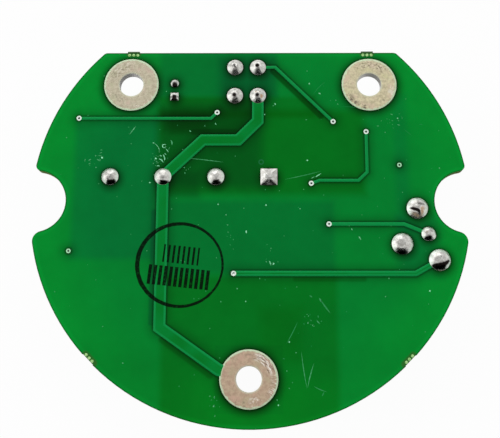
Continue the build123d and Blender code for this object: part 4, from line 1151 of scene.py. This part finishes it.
def scuffSurfaces():
    # each mark is a thin strip: its heading turns evenly by the bend from start to end, and its
    # half width goes as 0.15 plus the sine of pi times the share of the way, widest midway
    draw = np.random.default_rng(5)
    marks = [np.array(scuffPlan["marks"])]
    for middle, reach, count, length in scuffPlan["clusters"]:
        columns = (
            middle[0] + draw.normal(0, 0.6, count) * reach[0],
            middle[1] + draw.normal(0, 0.6, count) * reach[1],
            draw.uniform(0, 360, count),
            length * draw.uniform(0.4, 1.2, count),
            draw.normal(0, 60, count),
            draw.uniform(0.7, 1.4, count),
            draw.uniform(0.2, 0.7, count),
        )
        marks.append(np.stack(columns, axis=-1))
    count = scuffPlan["specks"]
    angle = draw.uniform(0, 2 * np.pi, count)
    away = scuffPlan["reach"] * np.sqrt(draw.uniform(0, 1, count))
    x, y = away * np.cos(angle), away * np.sin(angle)
    size = draw.uniform(0.1, 0.26, count)
    columns = (
        x,
        y,
        draw.uniform(0, 360, count),
        size,
        np.zeros(count),
        np.minimum(size / scuffPlan["width"], 1.5),
        draw.uniform(0.15, 0.6, count),
    )
    specks = np.stack(columns, axis=-1)
    keep = y < scuffPlan["topEdge"]
    for places, clear in (
        (outlinePlan["notches"], scuffPlan["notchClear"]),
        (headerPlaces + terminalPlaces + jackPlaces + [jackCentre], scuffPlan["jointClear"]),
        (ringPlaces.values(), scuffPlan["ringClear"]),
    ):
        for placeX, placeY in places:
            keep &= np.hypot(x - placeX, y - placeY) > clear
    marks.append(specks[keep])
    startX, startY, headings, lengths, bends, widths, paleness = np.concatenate(marks).T
    steps = scuffPlan["steps"]
    share = np.linspace(0, 1, steps)
    heading = np.radians(headings[:, None] + bends[:, None] * share)
    way = np.stack([np.cos(heading), np.sin(heading)], axis=-1)
    stride = (lengths / (steps - 1))[:, None, None]
    path = np.stack([startX, startY], axis=-1)[:, None, :] + np.cumsum(way * stride, axis=1)
    half = widths[:, None] * scuffPlan["width"] / 2 * (0.15 + np.sin(np.pi * share))
    side = np.stack([-way[..., 1], way[..., 0]], axis=-1) * half[..., None]
    high, low = (np.full((*half.shape, 1), scuffPlan[level]) for level in ("height", "sunk"))
    corners = [
        np.concatenate([path - side, high], axis=-1),
        np.concatenate([path + side, high], axis=-1),
        np.concatenate([path + side, low], axis=-1),
        np.concatenate([path - side, low], axis=-1),
    ]
    points = np.stack(corners, axis=2).reshape(-1, 3)
    first = np.arange(len(startX))[:, None, None] * steps * 4
    body = (first + gridFaces(steps, 4, closeColumns=True)[None]).reshape(-1, 4)
    startCaps = first[:, 0] + np.arange(4)[None, :]
    endCaps = first[:, 0] + (steps - 1) * 4 + np.arange(4)[::-1][None, :]
    return points, [body, startCaps, endCaps], np.repeat(paleness, steps * 4)


def scuffMaterial():
    material, tree, shader = newMaterial("paleScuff", 0.6, specular=0.06)
    place = objectPlace(tree)
    paleness = tree.nodes.new("ShaderNodeAttribute")
    paleness.attribute_name = "markValue"
    uneven = spread(tree, noise(tree, place, 2.4, 3), 0.3, 0.7, 0.7, 1.15)
    share = calc(tree, "MULTIPLY", paleness.outputs["Fac"], uneven, clamp=True)
    colour = blend(tree, calc(tree, "POWER", share, 2.3), scuffPlan["faint"], scuffPlan["pale"])
    tree.links.new(colour, shader.inputs["Base Color"])
    return material


makePiece("mask_scuffs", [scuffSurfaces()], scuffMaterial())
print("scuffs added")


# torn glass fibres over the break-off perforations

tornPlan = {
    "radius": 0.27, "height": 0.06, "round": 2.0, "steep": 0.8, "waves": 0.3, "waveHeight": 0.02,
    "rim": 0.004, "dark": (0.25, 0.50, 0.15, 1), "light": (0.52, 0.80, 0.36, 1),
}
# three perforations to each scar: two scars on the flat edge and two on the round one
scarPlan = {
    "steps": (-1, 0, 1),
    "pitch": 0.76,
    "flatMiddles": (-21.6, 21.6),
    "flatRow": 27.78,
    "roundAngles": (225, 315),
    "roundRow": 38.64,
}
tornPlaces = [
    (x + step * scarPlan["pitch"], scarPlan["flatRow"])
    for x in scarPlan["flatMiddles"]
    for step in scarPlan["steps"]
]
for degrees in scarPlan["roundAngles"]:
    angle = math.radians(degrees)
    outward = np.array([math.cos(angle), math.sin(angle)])
    sideways = np.array([-math.sin(angle), math.cos(angle)])
    middle = np.array(outlinePlan["centre"]) + scarPlan["roundRow"] * outward
    tornPlaces += [tuple(middle + step * scarPlan["pitch"] * sideways) for step in scarPlan["steps"]]


def tornMaterial():
    material, tree, shader = newMaterial("tornFibres", 0.8, specular=0.1)
    place = objectPlace(tree)
    threads = noise(tree, place, 3.5, 3)
    colour = blend(tree, spread(tree, threads, 0.35, 0.65), tornPlan["dark"], tornPlan["light"])
    tree.links.new(colour, shader.inputs["Base Color"])
    tree.links.new(bump(tree, threads, 0.04), shader.inputs["Normal"])
    return material


tufts = [
    moundSurface(point, tornPlan, 61 + index, rows=6, columns=20)
    for index, point in enumerate(tornPlaces)
]
makePiece("torn_fibres", tufts, tornMaterial())
print("torn edges marked")


# finishes of the parts that keep their own shape

def plainFinish(name, light, dark, scale, rough, metallic=0.0, relief=0.01):
    # two tones in slow clouds, and a finer grain in the gloss and the relief
    material, tree, shader = newMaterial(name, metallic=metallic)
    place = objectPlace(tree)
    cloud = noise(tree, place, scale, 4, 0.6)
    grain = noise(tree, place, scale * 6, 3, 0.6)
    colour = blend(tree, spread(tree, cloud, 0.3, 0.7), dark, light)
    tree.links.new(colour, shader.inputs["Base Color"])
    tree.links.new(spread(tree, grain, 0.3, 0.7, *rough), shader.inputs["Roughness"])
    tree.links.new(bump(tree, grain, relief), shader.inputs["Normal"])
    return material


viaPlan = {
    "light": (0.92, 1.0, 0.93, 1),
    "dark": (0.62, 0.80, 0.66, 1),
    "tarnish": (0.44, 0.82, 0.50, 1),
    "tarnishedOnes": ("lowerLeft", "edge"),
    # the barrel inside each via is painted near black, as painted shade in the narrow hole
    "wall": (0.02, 0.03, 0.02, 1),
}


def viaMaterial():
    material, tree, shader = newMaterial("tinnedVia", 0.4, 0.3)
    place = objectPlace(tree)
    # painted shade inside the via's barrel
    wall = within(tree, split(tree, place)[2], underHeight + 0.01, faceHeight - 0.01)
    cloudy = spread(tree, noise(tree, place, 6.0, 2), 0.3, 0.7)
    rim = blend(tree, cloudy, viaPlan["dark"], viaPlan["light"])
    flat = vector(tree, "MULTIPLY", place, (1, 1, 0))
    for lone in viaPlan["tarnishedOnes"]:
        away = vector(tree, "DISTANCE", flat, (*viaPlaces[lone], 0))
        rim = blend(tree, spread(tree, away, 1.0, 1.1, 1.0, 0.0), rim, viaPlan["tarnish"])
    tree.links.new(blend(tree, wall, rim, viaPlan["wall"]), shader.inputs["Base Color"])
    return material


finishPlans = {
    "blackMoulding": {
        "light": (0.022, 0.022, 0.024, 1), "dark": (0.012, 0.012, 0.013, 1),
        "scale": 1.2, "rough": (0.32, 0.5), "relief": 0.02,
    },
    "tinPlate": {
        "light": (0.74, 0.73, 0.70, 1), "dark": (0.55, 0.54, 0.52, 1),
        "scale": 1.5, "rough": (0.25, 0.42), "metallic": 1.0,
    },
    "zincPlatedSteel": {
        "light": (0.66, 0.68, 0.70, 1), "dark": (0.46, 0.48, 0.51, 1),
        "scale": 1.0, "rough": (0.2, 0.4), "metallic": 1.0,
    },
    "naturalNylon": {
        "light": (0.80, 0.78, 0.71, 1), "dark": (0.76, 0.735, 0.66, 1),
        "scale": 0.35, "rough": (0.36, 0.46), "relief": 0.008,
    },
    "nickelPlate": {
        "light": (0.66, 0.63, 0.58, 1), "dark": (0.50, 0.47, 0.43, 1),
        "scale": 1.2, "rough": (0.18, 0.32), "metallic": 1.0,
    },
    "whiteInsulator": {
        "light": (0.86, 0.86, 0.84, 1), "dark": (0.78, 0.78, 0.75, 1),
        "scale": 1.0, "rough": (0.35, 0.45),
    },
    "goldPlate": {
        "light": (0.83, 0.62, 0.25, 1), "dark": (0.70, 0.50, 0.18, 1),
        "scale": 2.0, "rough": (0.18, 0.3), "metallic": 1.0,
    },
    "chipMoulding": {
        "light": (0.03, 0.03, 0.032, 1), "dark": (0.02, 0.02, 0.022, 1),
        "scale": 3.0, "rough": (0.5, 0.7),
    },
    "resistorGlaze": {
        "light": (0.02, 0.022, 0.026, 1), "dark": (0.012, 0.013, 0.016, 1),
        "scale": 3.0, "rough": (0.15, 0.3),
    },
    "capacitorCeramic": {
        "light": (0.48, 0.33, 0.20, 1), "dark": (0.36, 0.24, 0.14, 1),
        "scale": 2.5, "rough": (0.35, 0.5),
    },
}
# which parts have which finish
finishedParts = {
    "blackMoulding": ("terminal_base", "jumper_base"),
    "tinPlate": (
        "plated_holes",
        "jumper_pins",
        "control_chip_leads",
        "surge_diode_tabs",
        "resistor_end_caps",
        "capacitor_end_caps",
        *("terminal_plate_%d" % number for number in (1, 2, 3, 4)),
        *("header_pin_%d" % number for number in (1, 2, 3, 4)),
    ),
    "zincPlatedSteel": ("terminal_screws",),
    "naturalNylon": ("header_housing",),
    "nickelPlate": ("jack_body",),
    "whiteInsulator": ("jack_insulator",),
    "goldPlate": ("jack_contact",),
    "chipMoulding": ("control_chip", "surge_diode"),
    "resistorGlaze": ("chip_resistors",),
    "capacitorCeramic": ("chip_capacitors",),
}
finishes = {"via_barrels": viaMaterial(), "component_tracks": maskedCopper}
for name, plan in finishPlans.items():
    material = plainFinish(name, **plan)
    for part in finishedParts[name]:
        finishes[part] = material
for part, material in finishes.items():
    nodes[part].data.materials.clear()
    nodes[part].data.materials.append(material)
print("finishes given")


# floor, light and camera

floorPlan = {"half": 900.0, "drop": 0.02, "colour": (0.82, 0.82, 0.82, 1), "whiteShare": 0.96}


def makeFloor():
    half = floorPlan["half"]
    points = np.array([(-half, -half, 0), (half, -half, 0), (half, half, 0), (-half, half, 0)])
    points[:, 2] = footHeight - floorPlan["drop"]
    mesh = bpy.data.meshes.new("floor")
    mesh.from_pydata((points * mm).tolist(), [], [(0, 1, 2, 3)])
    floor = bpy.data.objects.new("floor", mesh)
    scene.collection.objects.link(floor)
    material, tree, shader = newMaterial("paleFloor", 0.9, specular=0.0)
    shader.inputs["Base Color"].default_value = floorPlan["colour"]
    # nearly white to the camera and in reflections, and still shaded by the board
    white = tree.nodes.new("ShaderNodeEmission")
    path = tree.nodes.new("ShaderNodeLightPath")
    seen = path.outputs["Is Camera Ray"]
    for ray in ("Is Glossy Ray", "Is Transmission Ray"):
        seen = calc(tree, "ADD", seen, path.outputs[ray], clamp=True)
    mixShader = tree.nodes.new("ShaderNodeMixShader")
    tree.links.new(calc(tree, "MULTIPLY", seen, floorPlan["whiteShare"]), mixShader.inputs[0])
    tree.links.new(shader.outputs[0], mixShader.inputs[1])
    tree.links.new(white.outputs[0], mixShader.inputs[2])
    tree.links.new(mixShader.outputs[0], tree.nodes["Material Output"].inputs["Surface"])
    mesh.materials.append(material)


makeFloor()

skyPlan = {
    "level": 0.96,
    "capAxis": (0.0, 0.19, 0.982),          # overhead, where the studio is a little darker
    "capEdge": (30, 12),                    # degrees from the axis where it sets in and is full
    "capLevel": 0.68,
    "front": (0.05, -0.998, 0),             # the dark side of the studio, seen in the joints
    "frontWidth": (56, 40),
    "frontTop": (0.90, 0.83),               # heights of the direction between which it ends
    "frontShare": 0.0,
}


def makeSky():
    # level of light by direction: lower in a cap overhead, and dark in front up to a height;
    # the camera itself sees plain white
    world = bpy.data.worlds.new("studio")
    scene.world = world
    world.use_nodes = True
    tree = world.node_tree
    tree.nodes.clear()
    direction = vector(tree, "NORMALIZE", tree.nodes.new("ShaderNodeTexCoord").outputs["Generated"])
    height = split(tree, direction)[2]
    wide, narrow = (math.cos(math.radians(angle)) for angle in skyPlan["capEdge"])
    cap = spread(tree, vector(tree, "DOT_PRODUCT", direction, skyPlan["capAxis"]), wide, narrow)
    level = spread(tree, cap, 0.0, 1.0, skyPlan["level"], skyPlan["capLevel"], smooth=False)
    ground = vector(tree, "NORMALIZE", vector(tree, "MULTIPLY", direction, (1, 1, 0)))
    wide, narrow = (math.cos(math.radians(angle)) for angle in skyPlan["frontWidth"])
    facing = spread(tree, vector(tree, "DOT_PRODUCT", ground, skyPlan["front"]), wide, narrow)
    front = calc(tree, "MULTIPLY", facing, spread(tree, height, *skyPlan["frontTop"]))
    front = spread(tree, front, 0.0, 1.0, 1.0, skyPlan["frontShare"], smooth=False)
    level = calc(tree, "MULTIPLY", level, front)
    path = tree.nodes.new("ShaderNodeLightPath")
    strength = calc(tree, "MAXIMUM", level, path.outputs["Is Camera Ray"])
    background = tree.nodes.new("ShaderNodeBackground")
    background.inputs["Color"].default_value = (1, 1, 1, 1)
    tree.links.new(strength, background.inputs["Strength"])
    output = tree.nodes.new("ShaderNodeOutputWorld")
    tree.links.new(background.outputs[0], output.inputs["Surface"])


makeSky()

lampPlans = {
    "backPanel": {"place": (-80, 420, 300), "size": 420, "power": 0.5},
    "leftPanel": {"place": (-420, 60, 280), "size": 420, "power": 0.4},
}
for name, plan in lampPlans.items():
    lamp = bpy.data.lights.new(name, "AREA")
    lamp.shape = "SQUARE"
    lamp.size = plan["size"] * mm
    lamp.energy = plan["power"]
    holder = bpy.data.objects.new(name, lamp)
    holder.location = [value * mm for value in plan["place"]]
    toBoard = -holder.location
    holder.rotation_euler = toBoard.to_track_quat("-Z", "Y").to_euler()
    scene.collection.objects.link(holder)

cameraPlan = {
    "place": (1.806, -30.43, 131.522),
    "turn": (11.6912, 0.6984, 0.2244),
    "lens": 54.654,
    "sensor": 36,
    "clip": (0.005, 10),
}
camera = bpy.data.objects.new("camera", bpy.data.cameras.new("camera"))
camera.data.lens = cameraPlan["lens"]
camera.data.sensor_width = cameraPlan["sensor"]
camera.data.clip_start, camera.data.clip_end = cameraPlan["clip"]
camera.location = [value * mm for value in cameraPlan["place"]]
camera.rotation_euler = Euler([math.radians(angle) for angle in cameraPlan["turn"]])
scene.collection.objects.link(camera)
scene.camera = camera
scene.view_settings.view_transform = "Standard"
print("floor, light and camera set")
